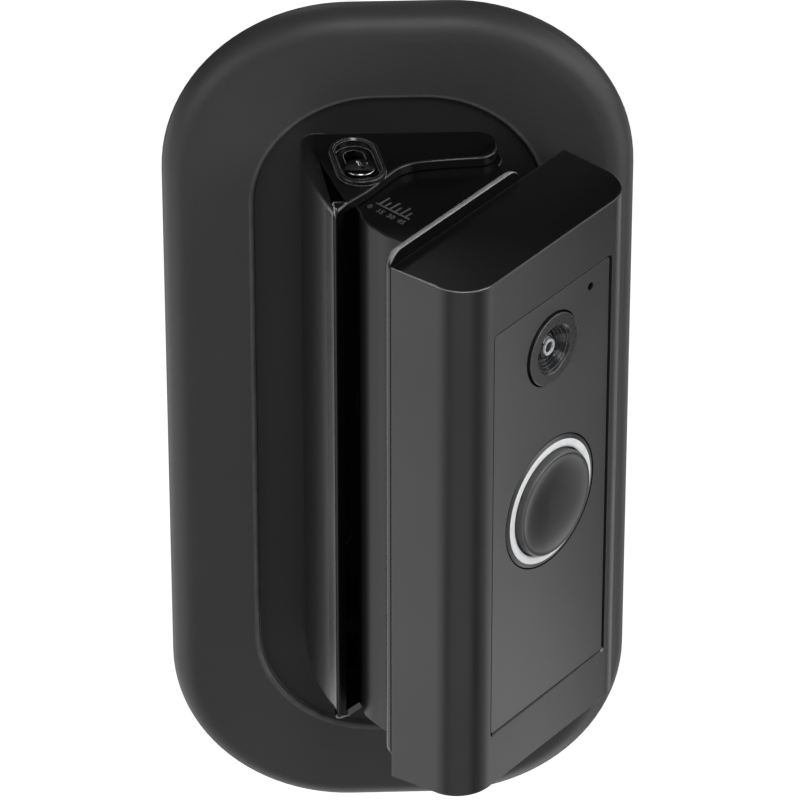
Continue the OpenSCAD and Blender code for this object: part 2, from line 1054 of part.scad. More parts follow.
module capacitors() {
    color([0.2, 0.22, 0.3])
        in_bell()
            for (x = [3, 9])
                translate([x, board_back, 24])
                    rotate([-90, 0, 0])
                        cylinder(r = 2.4, h = 2.7);
}

module wifi_shield() {
    color([0.7, 0.71, 0.73])
        in_bell()
            block(-8, 8, 7.4, board_front, 14.6, 21.8);
}

module antenna() {
    color([0.75, 0.6, 0.3])
        in_bell()
            union() {
                block(-13, -3, 7.2, 7.6, 40.6, 42.6);
                block(-4, -3, 7.2, board_front, 40.6, 42.6);
            }
}

// ---------- pieces ----------

wall_plate();
wall_seal();
cable_grommet();
mount_base();
base_screws();
pivot_pins();
swivel_bracket();
lock_nuts();
lock_screw_top();
lock_screw_bottom();
lock_washer_top();
lock_washer_bottom();
outer_shell();
security_screw();
front_panel();
inner_frame();
housing_seal();
rear_housing();
housing_screws();
mounting_screws();
lens_bezel();
lens_barrel();
cover_lens();
lens_elements();
camera_holder();
image_sensor();
light_ring();
led_board();
led_chips();
led_cable();
button_cap();
button_seal();
switch_body();
switch_plunger();
main_board();
board_screws();
microphone();
mic_gasket();
speaker();
speaker_gasket();
terminal_block();
terminal_screws();
power_inductor();
capacitors();
wifi_shield();
antenna();
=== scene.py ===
import json
import math

import bmesh
import bpy
from mathutils import Matrix, Vector


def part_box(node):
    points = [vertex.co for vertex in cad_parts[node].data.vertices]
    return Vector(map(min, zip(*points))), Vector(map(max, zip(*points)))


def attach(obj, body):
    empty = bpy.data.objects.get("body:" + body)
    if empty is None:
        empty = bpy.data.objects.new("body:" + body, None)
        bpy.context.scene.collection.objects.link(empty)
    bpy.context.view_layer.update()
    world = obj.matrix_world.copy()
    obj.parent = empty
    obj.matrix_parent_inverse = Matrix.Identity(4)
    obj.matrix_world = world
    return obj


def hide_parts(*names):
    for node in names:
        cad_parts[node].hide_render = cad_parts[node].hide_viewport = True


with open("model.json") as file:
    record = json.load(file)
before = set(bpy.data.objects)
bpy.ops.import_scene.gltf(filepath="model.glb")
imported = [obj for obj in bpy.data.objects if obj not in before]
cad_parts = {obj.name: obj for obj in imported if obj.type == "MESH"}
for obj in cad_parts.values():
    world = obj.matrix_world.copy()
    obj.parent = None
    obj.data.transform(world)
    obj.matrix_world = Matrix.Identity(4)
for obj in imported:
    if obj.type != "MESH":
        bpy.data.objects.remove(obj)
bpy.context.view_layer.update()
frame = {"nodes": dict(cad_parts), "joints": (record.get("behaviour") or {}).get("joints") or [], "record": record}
record = frame["record"]
nodes = frame["nodes"]
joints = {joint["name"]: joint for joint in frame["joints"]}

# Shapes are written in millimetres and become metres in make()
MM = 0.001

# ---------- places taken from the frame ----------


def corners(points):
    """Lowest and highest corners of some points."""
    low = Vector([min(p[i] for p in points) for i in range(3)])
    high = Vector([max(p[i] for p in points) for i in range(3)])
    return low, high


def box(node):
    """A CAD node's box in the shared frame, in millimetres."""
    low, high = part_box(node)
    return low / MM, high / MM


# The doorbell's own axes: x along its width, y into its depth, z up, from the middle of its front face
press_axis = joints["button_press"]["axis"]
YAW = math.atan2(-press_axis[0], press_axis[1])
TURN = Matrix.Rotation(YAW, 4, "Z")


def turned_box(node):
    """A CAD node's box along the doorbell's axes, measured from the shared frame's origin."""
    return corners([TURN.inverted() @ (v.co / MM) for v in nodes[node].data.vertices])


shell_low, shell_high = turned_box("outer_shell")
BELL_ORIGIN = Vector(((shell_low.x + shell_high.x) / 2, shell_low.y, (shell_low.z + shell_high.z) / 2))
BELL = TURN @ Matrix.Translation(BELL_ORIGIN)
UPRIGHT = Matrix.Rotation(math.radians(90), 4, "X")
BELL_UPRIGHT = BELL @ UPRIGHT
TO_BELL = BELL.inverted()


def on_front(x, z):
    """The place of a piece whose axis stands out of the doorbell's front."""
    return BELL_UPRIGHT @ Matrix.Translation((x, z, 0))


def bell_box(node):
    """A CAD node's box in the doorbell's own axes."""
    low, high = turned_box(node)
    return low - BELL_ORIGIN, high - BELL_ORIGIN


def bell_plan(x, y):
    """A point of the doorbell's plan, in the shared frame's plan."""
    point = BELL @ Vector((x, y, 0))
    return point.x, point.y


# ---------- outlines, as lists of points that run counter-clockwise ----------


def arc(centre, radius, start, end, steps=12):
    """Points of a circle's arc, from start to end in degrees."""
    turns = [math.radians(start + (end - start) * k / steps) for k in range(steps + 1)]
    return [(centre[0] + radius * math.cos(t), centre[1] + radius * math.sin(t)) for t in turns]


def circle(radius, centre=(0, 0), steps=72):
    return arc(centre, radius, 0, 360 - 360 / steps, steps - 1)


def rounded_rect(width, height, radius, centre=(0, 0), steps=14):
    points = []
    for sx, sy, start in ((1, 1, 0), (-1, 1, 90), (-1, -1, 180), (1, -1, 270)):
        corner = (centre[0] + sx * (width / 2 - radius), centre[1] + sy * (height / 2 - radius))
        points += arc(corner, radius, start, start + 90, steps)
    return points


def quarter(steps):
    """Along a quarter round: the shares of its radius that are left of the way in and done of the way up."""
    turns = [math.pi / 2 * k / steps for k in range(steps + 1)]
    return [(1 - math.sin(t), 1 - math.cos(t)) for t in turns]


def stadium(centre, turn, half_run, radius, steps=24):
    """A slot with round ends, whose length lies along turn in degrees."""
    along = Vector((math.cos(math.radians(turn)), math.sin(math.radians(turn)))) * half_run
    first = arc((centre[0] + along.x, centre[1] + along.y), radius, turn - 90, turn + 90, steps)
    second = arc((centre[0] - along.x, centre[1] - along.y), radius, turn + 90, turn + 270, steps)
    return first + second


def curve_through(points, steps=6):
    """A smooth open curve through some points."""
    padded = [points[0]] + list(points) + [points[-1]]
    made = []
    for a, b, c, d in zip(padded, padded[1:], padded[2:], padded[3:]):
        a, b, c, d = Vector(a), Vector(b), Vector(c), Vector(d)
        for k in range(steps):
            t = k / steps
            point = 2 * b + (c - a) * t + (2 * a - 5 * b + 4 * c - d) * t * t
            point += (3 * b - a - 3 * c + d) * t * t * t
            made.append(tuple(point / 2))
    return made + [tuple(points[-1])]


def inset(outline, amounts):
    """The outline moved inwards, each point by its own amount, with mitred corners."""
    moved = []
    count = len(outline)
    for i, amount in enumerate(amounts):
        here = Vector(outline[i])
        first = (here - Vector(outline[i - 1])).normalized()
        second = (Vector(outline[(i + 1) % count]) - here).normalized()
        inward_first = Vector((-first.y, first.x))
        inward_second = Vector((-second.y, second.x))
        mitre = (inward_first + inward_second) / max(0.3, 1 + inward_first.dot(inward_second))
        moved.append(here + mitre * amount)
    return moved


# ---------- meshes ----------


def add_object(name, data):
    made = bpy.data.objects.new(name, data)
    bpy.context.scene.collection.objects.link(made)
    return made


def make(name, points, faces, place):
    """A mesh object from points in millimetres, placed in the shared frame."""
    mesh = bpy.data.meshes.new(name)
    mesh.from_pydata([(place @ Vector(p)) * MM for p in points], [], faces)
    work = bmesh.new()
    work.from_mesh(mesh)
    bmesh.ops.remove_doubles(work, verts=work.verts, dist=0.0004 * MM)
    bmesh.ops.recalc_face_normals(work, faces=work.faces)
    work.to_mesh(mesh)
    work.free()
    return add_object(name, mesh)


def loft(name, rings, place=Matrix.Identity(4), closed_loop=False):
    """A solid through rings of equally many points, capped at both ends or joined into a loop."""
    count = len(rings[0])
    points = [p for ring in rings for p in ring]
    faces = []
    spans = len(rings) if closed_loop else len(rings) - 1
    for k in range(spans):
        here = k * count
        there = ((k + 1) % len(rings)) * count
        for i in range(count):
            j = (i + 1) % count
            faces.append((here + i, here + j, there + j, there + i))
    if not closed_loop:
        last = (len(rings) - 1) * count
        faces.append(tuple(reversed(range(count))))
        faces.append(tuple(range(last, last + count)))
    return make(name, points, faces, place)


def per_point(value, outline):
    return list(value) if isinstance(value, (list, tuple)) else [value] * len(outline)


def slab(name, outline, low, high, low_edge=0.0, high_edge=0.0, place=Matrix.Identity(4), steps=5):
    """A plate between two heights. Its edges are rounded by a radius for all points, or one for each."""
    low_edges = per_point(low_edge, outline)
    high_edges = per_point(high_edge, outline)
    rings = []
    for k in range(steps + 1 if max(low_edges) else 1):
        turn = math.pi / 2 * (k / steps if max(low_edges) else 1)
        moved = inset(outline, [r * (1 - math.sin(turn)) for r in low_edges])
        rings.append([(p[0], p[1], low + r * (1 - math.cos(turn))) for p, r in zip(moved, low_edges)])
    for k in range(steps + 1 if max(high_edges) else 1):
        turn = math.pi / 2 * k / steps
        moved = inset(outline, [r * (1 - math.cos(turn)) for r in high_edges])
        rings.append([(p[0], p[1], high - r * (1 - math.sin(turn))) for p, r in zip(moved, high_edges)])
    return loft(name, rings, place)


def lathe(name, profile, place, steps=96, closed_loop=False):
    """A turned piece. The profile lists radius and height pairs along the axis."""
    rings = []
    for radius, height in profile:
        rings.append([(x, y, height) for x, y in circle(max(radius, 0.0001), steps=steps)])
    return loft(name, rings, place, closed_loop)


def rounded_profile(points, radius, steps=4):
    """An open profile whose inner points are rounded."""
    made = [points[0]]
    for before, here, after in zip(points, points[1:], points[2:]):
        before, here, after = Vector(before), Vector(here), Vector(after)
        reach = min(radius, (before - here).length / 2.05, (after - here).length / 2.05)
        start = here + (before - here).normalized() * reach
        end = here + (after - here).normalized() * reach
        for k in range(steps + 1):
            t = k / steps
            made.append(tuple(start * (1 - t) ** 2 + here * 2 * t * (1 - t) + end * t * t))
    return made + [points[-1]]


def bake(piece):
    """Applies a piece's modifiers."""
    bpy.context.view_layer.update()
    graph = bpy.context.evaluated_depsgraph_get()
    mesh = bpy.data.meshes.new_from_object(piece.evaluated_get(graph))
    piece.modifiers.clear()
    piece.data = mesh


def combine(piece, operation, others):
    for other in others:
        modifier = piece.modifiers.new(operation, "BOOLEAN")
        modifier.operation = operation
        modifier.solver = "EXACT"
        modifier.object = other
    bake(piece)
    for other in others:
        bpy.data.objects.remove(other)
    return piece


def cut(piece, *cutters):
    return combine(piece, "DIFFERENCE", cutters)


def join(piece, *others):
    return combine(piece, "UNION", others)


def extra_material(piece, material, chosen):
    """Gives the faces that chosen picks, by centre in millimetres and normal, another material."""
    piece.data.materials.append(materials[material])
    index = len(piece.data.materials) - 1
    for polygon in piece.data.polygons:
        if chosen(polygon.center / MM, polygon.normal):
            polygon.material_index = index


def finish_piece(piece, body, material, replaced=None, sharp=34):
    """Shades a piece, gives it its material, hangs it on the body it rides on and hides the CAD node it replaces.
    """
    for polygon in piece.data.polygons:
        polygon.use_smooth = True
    piece.data.set_sharp_from_angle(angle=math.radians(sharp))
    normals = piece.modifiers.new("normals", "WEIGHTED_NORMAL")
    normals.keep_sharp = True
    piece.data.materials.clear()
    piece.data.materials.append(materials[material])
    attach(piece, body)
    if replaced:
        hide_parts(replaced)


# ---------- materials ----------


materials = {}


class Nodes:
    """A new material, kept in materials, with short calls for the nodes that the materials use."""

    def __init__(self, name, constants=None):
        materials[name] = bpy.data.materials.new(name)
        materials[name].use_nodes = True
        self.tree = materials[name].node_tree
        self.shader = self.tree.nodes["Principled BSDF"]
        self.feed(self.shader, constants or {})
        self.place = self.add("TexCoord").outputs["Object"]

    def feed(self, node, inputs):
        """Gives a node's inputs, by name or place, their constants or links from sockets."""
        for key, term in inputs.items():
            if isinstance(term, bpy.types.NodeSocket):
                self.tree.links.new(term, node.inputs[key])
            else:
                node.inputs[key].default_value = term

    def add(self, kind, inputs=None, **settings):
        node = self.tree.nodes.new("ShaderNode" + kind)
        for key, value in settings.items():
            setattr(node, key, value)
        self.feed(node, inputs or {})
        return node

    def value(self, operation, first, second, clamp=False):
        return self.add("Math", {0: first, 1: second}, operation=operation, use_clamp=clamp).outputs[0]

    def times(self, first, second):
        return self.value("MULTIPLY", first, second)

    def vector(self, operation, first, second=(0, 0, 0), result="Vector"):
        return self.add("VectorMath", {0: first, 1: second}, operation=operation).outputs[result]

    def part(self, source, axis):
        """One of a vector's three numbers."""
        return self.add("SeparateXYZ", {0: source}).outputs[axis]

    def stretched(self, scale):
        return self.add("Mapping", {"Vector": self.place, "Scale": scale}).outputs[0]

    def noise(self, scale, detail=3.0, place=None):
        inputs = {"Vector": place or self.place, "Scale": scale, "Detail": detail, "Roughness": 0.55}
        return self.add("TexNoise", inputs).outputs["Fac"]

    def cells(self, scale):
        return self.add("TexVoronoi", {"Vector": self.place, "Scale": scale}).outputs["Distance"]

    def blend(self, factor, first, second):
        """A mix of two colours, given as three numbers or as a socket."""
        colours = [c if isinstance(c, bpy.types.NodeSocket) else (*c, 1) for c in (first, second)]
        inputs = {"Factor": factor, 6: colours[0], 7: colours[1]}
        return self.add("Mix", inputs, data_type="RGBA").outputs[2]

    def band(self, source, low, high, to_low=0.0, to_high=1.0):
        inputs = {"Value": source, "From Min": low, "From Max": high, "To Min": to_low, "To Max": to_high}
        return self.add("MapRange", inputs, clamp=True).outputs[0]

    def tones(self, pattern, low, high, colour, dark, light):
        """The colour, from dark to light times itself as the pattern rises from low to high."""
        return self.blend(self.band(pattern, low, high), shade(colour, dark), shade(colour, light))

    def edges(self, radius, strength):
        """How sharply the surface turns within a radius in metres: 0 on flats, up to 1 on edges."""
        bevel = self.add("Bevel", {"Radius": radius}, samples=4).outputs[0]
        normal = self.add("NewGeometry").outputs["Normal"]
        alike = self.vector("DOT_PRODUCT", bevel, normal, "Value")
        return self.value("MULTIPLY", self.value("SUBTRACT", 1.0, alike), strength, clamp=True)

    def bump(self, heights, distance, strength=1.0):
        node = self.add("Bump", {"Height": heights, "Distance": distance, "Strength": strength})
        self.feed(self.shader, {"Normal": node.outputs[0]})

    def grain(self, speckle, depth):
        """Fine spark-eroded relief."""
        relief = self.value("ADD", self.times(self.cells(1500), 0.5), self.times(speckle, 0.7))
        self.bump(relief, depth, 0.5)

    def surface(self, colour, roughness):
        self.feed(self.shader, {"Base Color": colour, "Roughness": roughness})


def shade(colour, factor):
    return tuple(min(1.0, c * factor) for c in colour)


def moulded(name, colour, rough, grain=1.0, wear_highlight_strength=0.6, level=0.5, highlight_and_wear_radius=0.00035, highlight_and_wear_factor=2.6):
    """Moulded plastic: fine spark-eroded grain, slight mottling and edges painted lighter, a little for wear and,
    where the factor is large, as a painted highlight.
    """
    m = Nodes(name, {"Specular IOR Level": level})
    mottle = m.noise(55, detail=4)
    speckle = m.noise(2600, detail=2)
    base = m.tones(mottle, 0.3, 0.7, colour, 0.88, 1.12)
    base = m.blend(m.band(speckle, 0.35, 0.75, 0.0, 0.35), base, shade(colour, 1.5))
    # Edges painted lighter: a little wear, and a painted highlight where the factor is large
    wear_and_highlight = m.edges(highlight_and_wear_radius, wear_highlight_strength)
    rubbed = m.band(m.noise(24, detail=5), 0.35, 0.7, rough - 0.04, rough + 0.04)
    fine = m.band(speckle, 0.3, 0.7, -0.03, 0.03)
    smoother = m.times(wear_and_highlight, 0.12)
    m.surface(m.blend(wear_and_highlight, base, shade(colour, highlight_and_wear_factor)),
              m.value("SUBTRACT", m.value("ADD", rubbed, fine), smoother, clamp=True))
    m.grain(speckle, 0.00002 * grain)


def recess_distance(m):
    """Distance in metres outside the recess outline; it is negative inside."""
    width, tall, radius = recess_size
    shifted = m.add("Mapping", {"Vector": m.place, "Location": (0, 0, -recess_z * MM)})
    away = m.vector("ABSOLUTE", shifted.outputs[0])
    beyond = m.vector("SUBTRACT", away, ((width / 2 - radius) * MM, 1, (tall / 2 - radius) * MM))
    reach = m.vector("LENGTH", m.vector("MAXIMUM", beyond, (0, 0, 0)), result="Value")
    return m.value("SUBTRACT", reach, radius * MM)


def satin_plate(name, colour, rough, level):
    """The wall plate's satin plastic, with a painted highlight in a band along the edge of the recess and a little
    wear on its edges.
    """
    m = Nodes(name, {"Specular IOR Level": level})
    mottle = m.noise(55, detail=4)
    speckle = m.noise(2600, detail=2)
    base = m.tones(mottle, 0.3, 0.7, colour, 0.92, 1.08)
    base = m.blend(m.band(speckle, 0.35, 0.75, 0.0, 0.3), base, shade(colour, 1.4))
    away = recess_distance(m)
    highlight_breakup = m.band(m.noise(420, detail=4), 0.25, 0.65, 0.5, 1.0)
    outer = m.band(away, 0.0010, 0.0006)
    inner = m.band(away, -0.0001, 0.0002)
    front = m.band(m.part(m.place, "Y"), -0.001, -0.003)
    # A band along the recess edge is painted lighter: a painted highlight, broken up by noise
    rubbed = m.times(m.times(outer, inner), m.times(front, highlight_breakup))
    wear_and_highlight = m.value("MAXIMUM", m.times(rubbed, 0.8), m.edges(0.0004, 0.6))
    cloudy = m.band(m.noise(24, detail=5), 0.35, 0.7, rough - 0.03, rough + 0.03)
    m.surface(m.blend(wear_and_highlight, base, shade(colour, 3.4)), m.value("SUBTRACT", cloudy, m.times(wear_and_highlight, 0.1)))
    m.grain(speckle, 0.00002)


def glossy_bracket(name, colour, satin_colour, outward, level):
    """Glossy black bracket whose outer wall, facing outward, is satin. Its upward-facing edges are painted light
    grey: a painted highlight.
    """
    m = Nodes(name, {"Specular IOR Level": level})
    normal = m.add("TexCoord").outputs["Normal"]
    satin = m.band(m.vector("DOT_PRODUCT", normal, outward, "Value"), 0.0, 0.5)
    speckle = m.noise(2600, detail=2)
    mottle = m.noise(70, detail=4)
    base = m.tones(mottle, 0.3, 0.7, colour, 0.8, 1.3)
    outside = m.tones(mottle, 0.3, 0.7, satin_colour, 0.93, 1.07)
    # Edges that face upwards are painted light grey: a painted highlight
    wear_and_highlight = m.times(m.edges(0.00025, 2.6), m.band(m.part(normal, "Z"), 0.02, 0.25))
    fine = m.band(speckle, 0.3, 0.7, 0.2, 0.26)
    edge_highlight_colour = (0.45, 0.45, 0.455)
    m.surface(m.blend(wear_and_highlight, m.blend(satin, base, outside), edge_highlight_colour),
              m.value("ADD", fine, m.times(satin, 0.08)))
    coarser = m.value("ADD", m.times(satin, 0.8), 0.2)
    m.bump(m.times(speckle, coarser), 0.000012, 0.5)


def painted_top_highlight(name, colour, rough):
    """Bracket plastic with a painted highlight in a light band along its rounded upper edge."""
    m = Nodes(name, {"Specular IOR Level": 0.36})
    upward = m.part(m.add("NewGeometry").outputs["Normal"], "Z")
    rising = m.band(upward, 0.3, 0.7)
    falling = m.band(upward, 0.99995, 0.995)
    streaks = m.noise(300, detail=4)
    rounded = m.times(rising, falling)
    highlight_band = m.times(rounded, m.band(streaks, 0.2, 0.6, 0.75, 1.0))
    speckle = m.noise(2600, detail=2)
    base = m.tones(speckle, 0.35, 0.75, colour, 0.8, 1.2)
    band_highlight_colour = (0.27, 0.27, 0.275)
    m.surface(m.blend(highlight_band, base, band_highlight_colour), m.band(speckle, 0.3, 0.7, rough - 0.03, rough + 0.03))
    m.bump(speckle, 0.000004, 0.3)


def dished_button(name, colour, rubbed):
    """Satin button plastic, painted lighter where the dish slopes and lighter still along its rim edge: painted
    highlights.
    """
    m = Nodes(name, {"Specular IOR Level": 0.2})
    normal = m.add("TexCoord").outputs["Normal"]
    facing = m.vector("DOT_PRODUCT", normal, [-a for a in press_axis], "Value")
    slope = m.band(facing, 0.9985, 0.955)
    speckle = m.noise(2600, detail=2)
    smear = m.noise(260, detail=4)
    base = m.tones(speckle, 0.35, 0.75, colour, 0.8, 1.3)
    # The dish's slope is painted lighter: a painted highlight
    wear_and_highlight = m.times(slope, m.band(smear, 0.3, 0.65, 0.75, 1.0))
    rim = m.edges(0.0004, 1.6)
    m.surface(m.blend(rim, m.blend(wear_and_highlight, base, rubbed), shade(rubbed, 2.2)),
              m.band(smear, 0.3, 0.7, 0.27, 0.35))
    m.bump(speckle, 0.00001, 0.4)


def metal(name, colour, rough, stretch=(1, 1, 14), wear_highlight_strength=0.5):
    """Plated steel or brass with fine drawn lines and edges painted brighter: a little wear, and painted glints on
    the black steel screws.
    """
    m = Nodes(name, {"Metallic": 1.0})
    lines = m.noise(900, detail=4, place=m.stretched(stretch))
    stain = m.noise(160, detail=3)
    base = m.tones(lines, 0.3, 0.7, colour, 0.82, 1.1)
    base = m.blend(m.band(stain, 0.55, 0.8, 0.0, 0.4), base, shade(colour, 0.6))
    wear_and_highlight = m.edges(0.00012, wear_highlight_strength)
    m.surface(m.blend(wear_and_highlight, base, shade(colour, 1.6)), m.band(lines, 0.3, 0.75, rough - 0.06, rough + 0.1))
    m.bump(lines, 0.000012, 0.5)


def elastic(name, colour, rough, pore_scale):
    """Rubber or foam, with pores of the given scale."""
    m = Nodes(name, {"Specular IOR Level": 0.35})
    pores = m.cells(pore_scale)
    dust = m.noise(120, detail=5)
    base = m.tones(pores, 0.1, 0.5, colour, 0.6, 1.2)
    m.surface(m.blend(m.band(dust, 0.5, 0.8, 0.0, 0.3), base, shade(colour, 2.2)),
              m.band(dust, 0.3, 0.8, rough - 0.05, rough + 0.08))
    m.bump(pores, 0.00005, 0.6)


def diffuser(name, colour):
    """Milky light guide with a soft sheen and slight cloudiness."""
    m = Nodes(name, {"Subsurface Weight": 0.35, "Subsurface Radius": (0.0006, 0.0006, 0.0006)})
    cloud = m.noise(300, detail=3)
    fine = m.noise(3000, detail=1)
    m.surface(m.tones(cloud, 0.3, 0.7, colour, 0.93, 1.05), m.band(cloud, 0.3, 0.7, 0.32, 0.44))
    m.bump(fine, 0.000008, 0.4)


def glass(name, tint):
    """Coated lens glass: mostly clear, with a trace of dust and an uneven coating."""
    m = Nodes(name, {"Alpha": 0.1})
    film = m.noise(260, detail=2)
    dust = m.noise(5200, detail=1)
    m.surface(m.blend(m.band(film, 0.35, 0.65), tint, shade(tint, 1.6)), m.band(dust, 0.6, 0.8, 0.03, 0.1))
    m.bump(dust, 0.000002, 0.2)


def circuit(name, mask, copper):
    """Solder mask with traces under it and fine weave."""
    m = Nodes(name)
    place = m.stretched((1, 1, 0.4))
    traces = m.add("TexBrick", {"Vector": place, "Scale": 700, "Mortar Size": 0.03})
    weave = m.noise(1800, detail=2)
    base = m.blend(m.band(traces.outputs["Fac"], 0.2, 0.8), mask, shade(mask, 1.7))
    m.surface(m.blend(m.band(weave, 0.68, 0.74), base, copper), m.band(weave, 0.3, 0.7, 0.28, 0.4))
    m.bump(traces.outputs["Fac"], 0.00003, 0.5)


# The recess in the wall plate: width, height and corner radius
recess_size = (47.8, 126.6, 20.0)
recess_z = 0.8

DEEP_BLACK = (0.0025, 0.0025, 0.0027)
SATIN_BLACK = (0.008, 0.008, 0.0083)
satin_plate("plate", (0.027, 0.027, 0.0275), 0.46, 0.24)
# A darker, less reflective copy of the plate's plastic for the recess floor: painted shade in the recess
satin_plate("plate_floor_shaded", (0.013, 0.013, 0.0133), 0.44, 0.16)
glossy_bracket("bracket", DEEP_BLACK, SATIN_BLACK, (-1, 0, 0), 0.42)
# A copy of the bracket's plastic with its satin side along the swivel's wall, that reflects less: painted shade on
# the swivel and on the base's lower front
glossy_bracket("bracket_swivel_shaded", DEEP_BLACK, SATIN_BLACK, (-0.76, -0.65, 0), 0.2)
# Near-black, barely reflective plastic for faces inside the brackets and in the gaps between them: painted shade
moulded("bracket_inside_shade", (0.0015, 0.0015, 0.0016), 0.5, grain=0.3, wear_highlight_strength=0.1, level=0.06)
# The back plate's upper edge is painted with a light band: a painted highlight
painted_top_highlight("bracket_top", DEEP_BLACK, 0.26)
# Lighter grey for the raised ticks and numbers: a painted highlight standing in for glints on them
moulded("scale", (0.05, 0.05, 0.052), 0.35, grain=0.3)
# The shell's edges are painted far lighter than its plastic: a painted highlight along them
moulded("shell", (0.003, 0.003, 0.0032), 0.37, wear_highlight_strength=1.6, highlight_and_wear_radius=0.0003, highlight_and_wear_factor=30)
# Light grey for the shell's upper left edge: a painted highlight
moulded("shell_edge_highlight", (0.11, 0.11, 0.112), 0.32, grain=0.3)
# Near-black, barely reflective plastic for the walls of the gap round the panel: painted shade in the gap
moulded("seam_shade", (0.002, 0.002, 0.002), 0.6, grain=0.3, wear_highlight_strength=0.1, level=0.1)
moulded("panel", (0.013, 0.013, 0.0135), 0.34, grain=0.6, wear_highlight_strength=1.0, highlight_and_wear_radius=0.0002, highlight_and_wear_factor=5)
# The lighter colour on the button's slope and rim edge is a painted highlight
dished_button("button", (0.005, 0.005, 0.0052), (0.085, 0.085, 0.087))
moulded("inner_plastic", (0.012, 0.012, 0.012), 0.6)
moulded("gloss_black", (0.008, 0.008, 0.009), 0.22, grain=0.15, wear_highlight_strength=0.3)
moulded("chip", (0.03, 0.035, 0.03), 0.25, grain=0.3)
moulded("plunger", (0.35, 0.03, 0.025), 0.5)
moulded("ferrite", (0.05, 0.05, 0.055), 0.7)
moulded("flex", (0.4, 0.2, 0.05), 0.35)
moulded("led", (0.8, 0.76, 0.45), 0.25, grain=0.2)
elastic("foam", (0.018, 0.018, 0.018), 0.9, 1400)
elastic("rubber", (0.012, 0.012, 0.012), 0.6, 5200)
metal("steel", (0.56, 0.57, 0.58), 0.28)
# The black steel's edges are painted much brighter: painted glints on the screws
metal("black_steel", (0.22, 0.22, 0.225), 0.17, wear_highlight_strength=2.6)
# Near-black steel for the screws, nuts and pins that sit in the dark gap inside the bracket: painted shade
metal("steel_in_shade", (0.006, 0.006, 0.0062), 0.4, wear_highlight_strength=0.1)
moulded("barrel", (0.012, 0.012, 0.0125), 0.2, grain=0.1, wear_highlight_strength=1.5, highlight_and_wear_radius=0.0001, highlight_and_wear_factor=8)
metal("brass", (0.62, 0.46, 0.2), 0.3)
metal("chip_metal", (0.6, 0.58, 0.52), 0.32, stretch=(12, 1, 1))
metal("capacitor", (0.5, 0.5, 0.54), 0.35)
diffuser("diffuser", (0.56, 0.57, 0.58))
# Milky white for a ring inside the lens: a painted reflection of a light in the glass
diffuser("lens_reflection_white", (0.86, 0.86, 0.86))
# The bezel's edges are painted far lighter than its plastic: a painted highlight along them
moulded("bezel", (0.009, 0.009, 0.0094), 0.3, grain=0.4, wear_highlight_strength=2.6, level=0.4,
        highlight_and_wear_radius=0.0003, highlight_and_wear_factor=26)
glass("lens_glass", (0.012, 0.014, 0.02))
circuit("board", (0.01, 0.07, 0.035), (0.55, 0.4, 0.18))

slot_of = {part["node"]: part["material_slot"] for part in record["subparts"]}
for node_name, cad_node in nodes.items():
    cad_node.data.materials.clear()
    # Screws, nuts and pins in the gap get the near-black steel: painted shade
    own = "steel_in_shade" if node_name in ("base_screws", "lock_nuts", "pivot_pins") else slot_of[node_name]
    cad_node.data.materials.append(materials[own])

# ---------- wall plate ----------

plate_low, plate_high = box("wall_plate")
plate_w = plate_high.x - plate_low.x
plate_h = plate_high.z - plate_low.z
plate_t = -plate_low.y
plate_r = 30.8
rim_r = 5.0
base_low, base_high = box("mount_base")
floor_y = base_high.y
base_mid_z = (base_low.z + base_high.z) / 2
wall_hole_z = record["mounts"][1]["dims"]["spacing_y_mm"] / 2
wall_hole_r = record["mounts"][1]["dims"]["hole_r_mm"]
grommet_low, grommet_high = box("cable_grommet")
seal_low, seal_high = box("wall_seal")
cable_bore_r = (grommet_high.x - grommet_low.x) / 2 - 1.2


def level(outline, height):
    return [(x, y, height) for x, y in outline]


def plate_rings():
    """Rings over the plate: seal groove on the back, rim, face, edge of the recess and its floor."""
    seal_inset = seal_low.x - plate_low.x
    seal_width = 3.0
    seal_depth = -seal_low.y
    back_edge = 0.5
    rings = []

    def outer(step_in, height):
        shape = rounded_rect(plate_w - 2 * step_in, plate_h - 2 * step_in, plate_r - step_in, steps=24)
        rings.append(level(shape, height))

    def recess(step_out, height):
        width, tall, radius = recess_size
        shape = rounded_rect(width + 2 * step_out, tall + 2 * step_out, radius + step_out,
                             centre=(0, recess_z), steps=24)
        rings.append(level(shape, height))

    outer(seal_inset + seal_width, 0)
    outer(seal_inset + seal_width, seal_depth)
    outer(seal_inset, seal_depth)
    outer(seal_inset, 0)
    for left, done in quarter(4):
        outer(back_edge * left, back_edge * done)
    for left, done in quarter(18):
        outer(rim_r * done, plate_t - rim_r * left)
    roll = 0.8
    for left, done in quarter(6):
        recess(roll * left, plate_t - roll * done)
    fillet = 0.25
    for left, done in quarter(4):
        recess(-fillet * done, -floor_y + fillet * left)
    return rings


def hole(radius, x, z, low, high, countersink=0.0):
    """A cutter for a round hole through an upright plate between two heights in front of the wall."""
    place = UPRIGHT @ Matrix.Translation((x, z, 0))
    profile = [(radius, low), (radius, high)]
    if countersink:
        profile = [(radius, low), (radius, high - countersink), (radius + countersink, high),
                   (radius + countersink, high + 1)]
    return lathe("cutter", profile, place, steps=48)


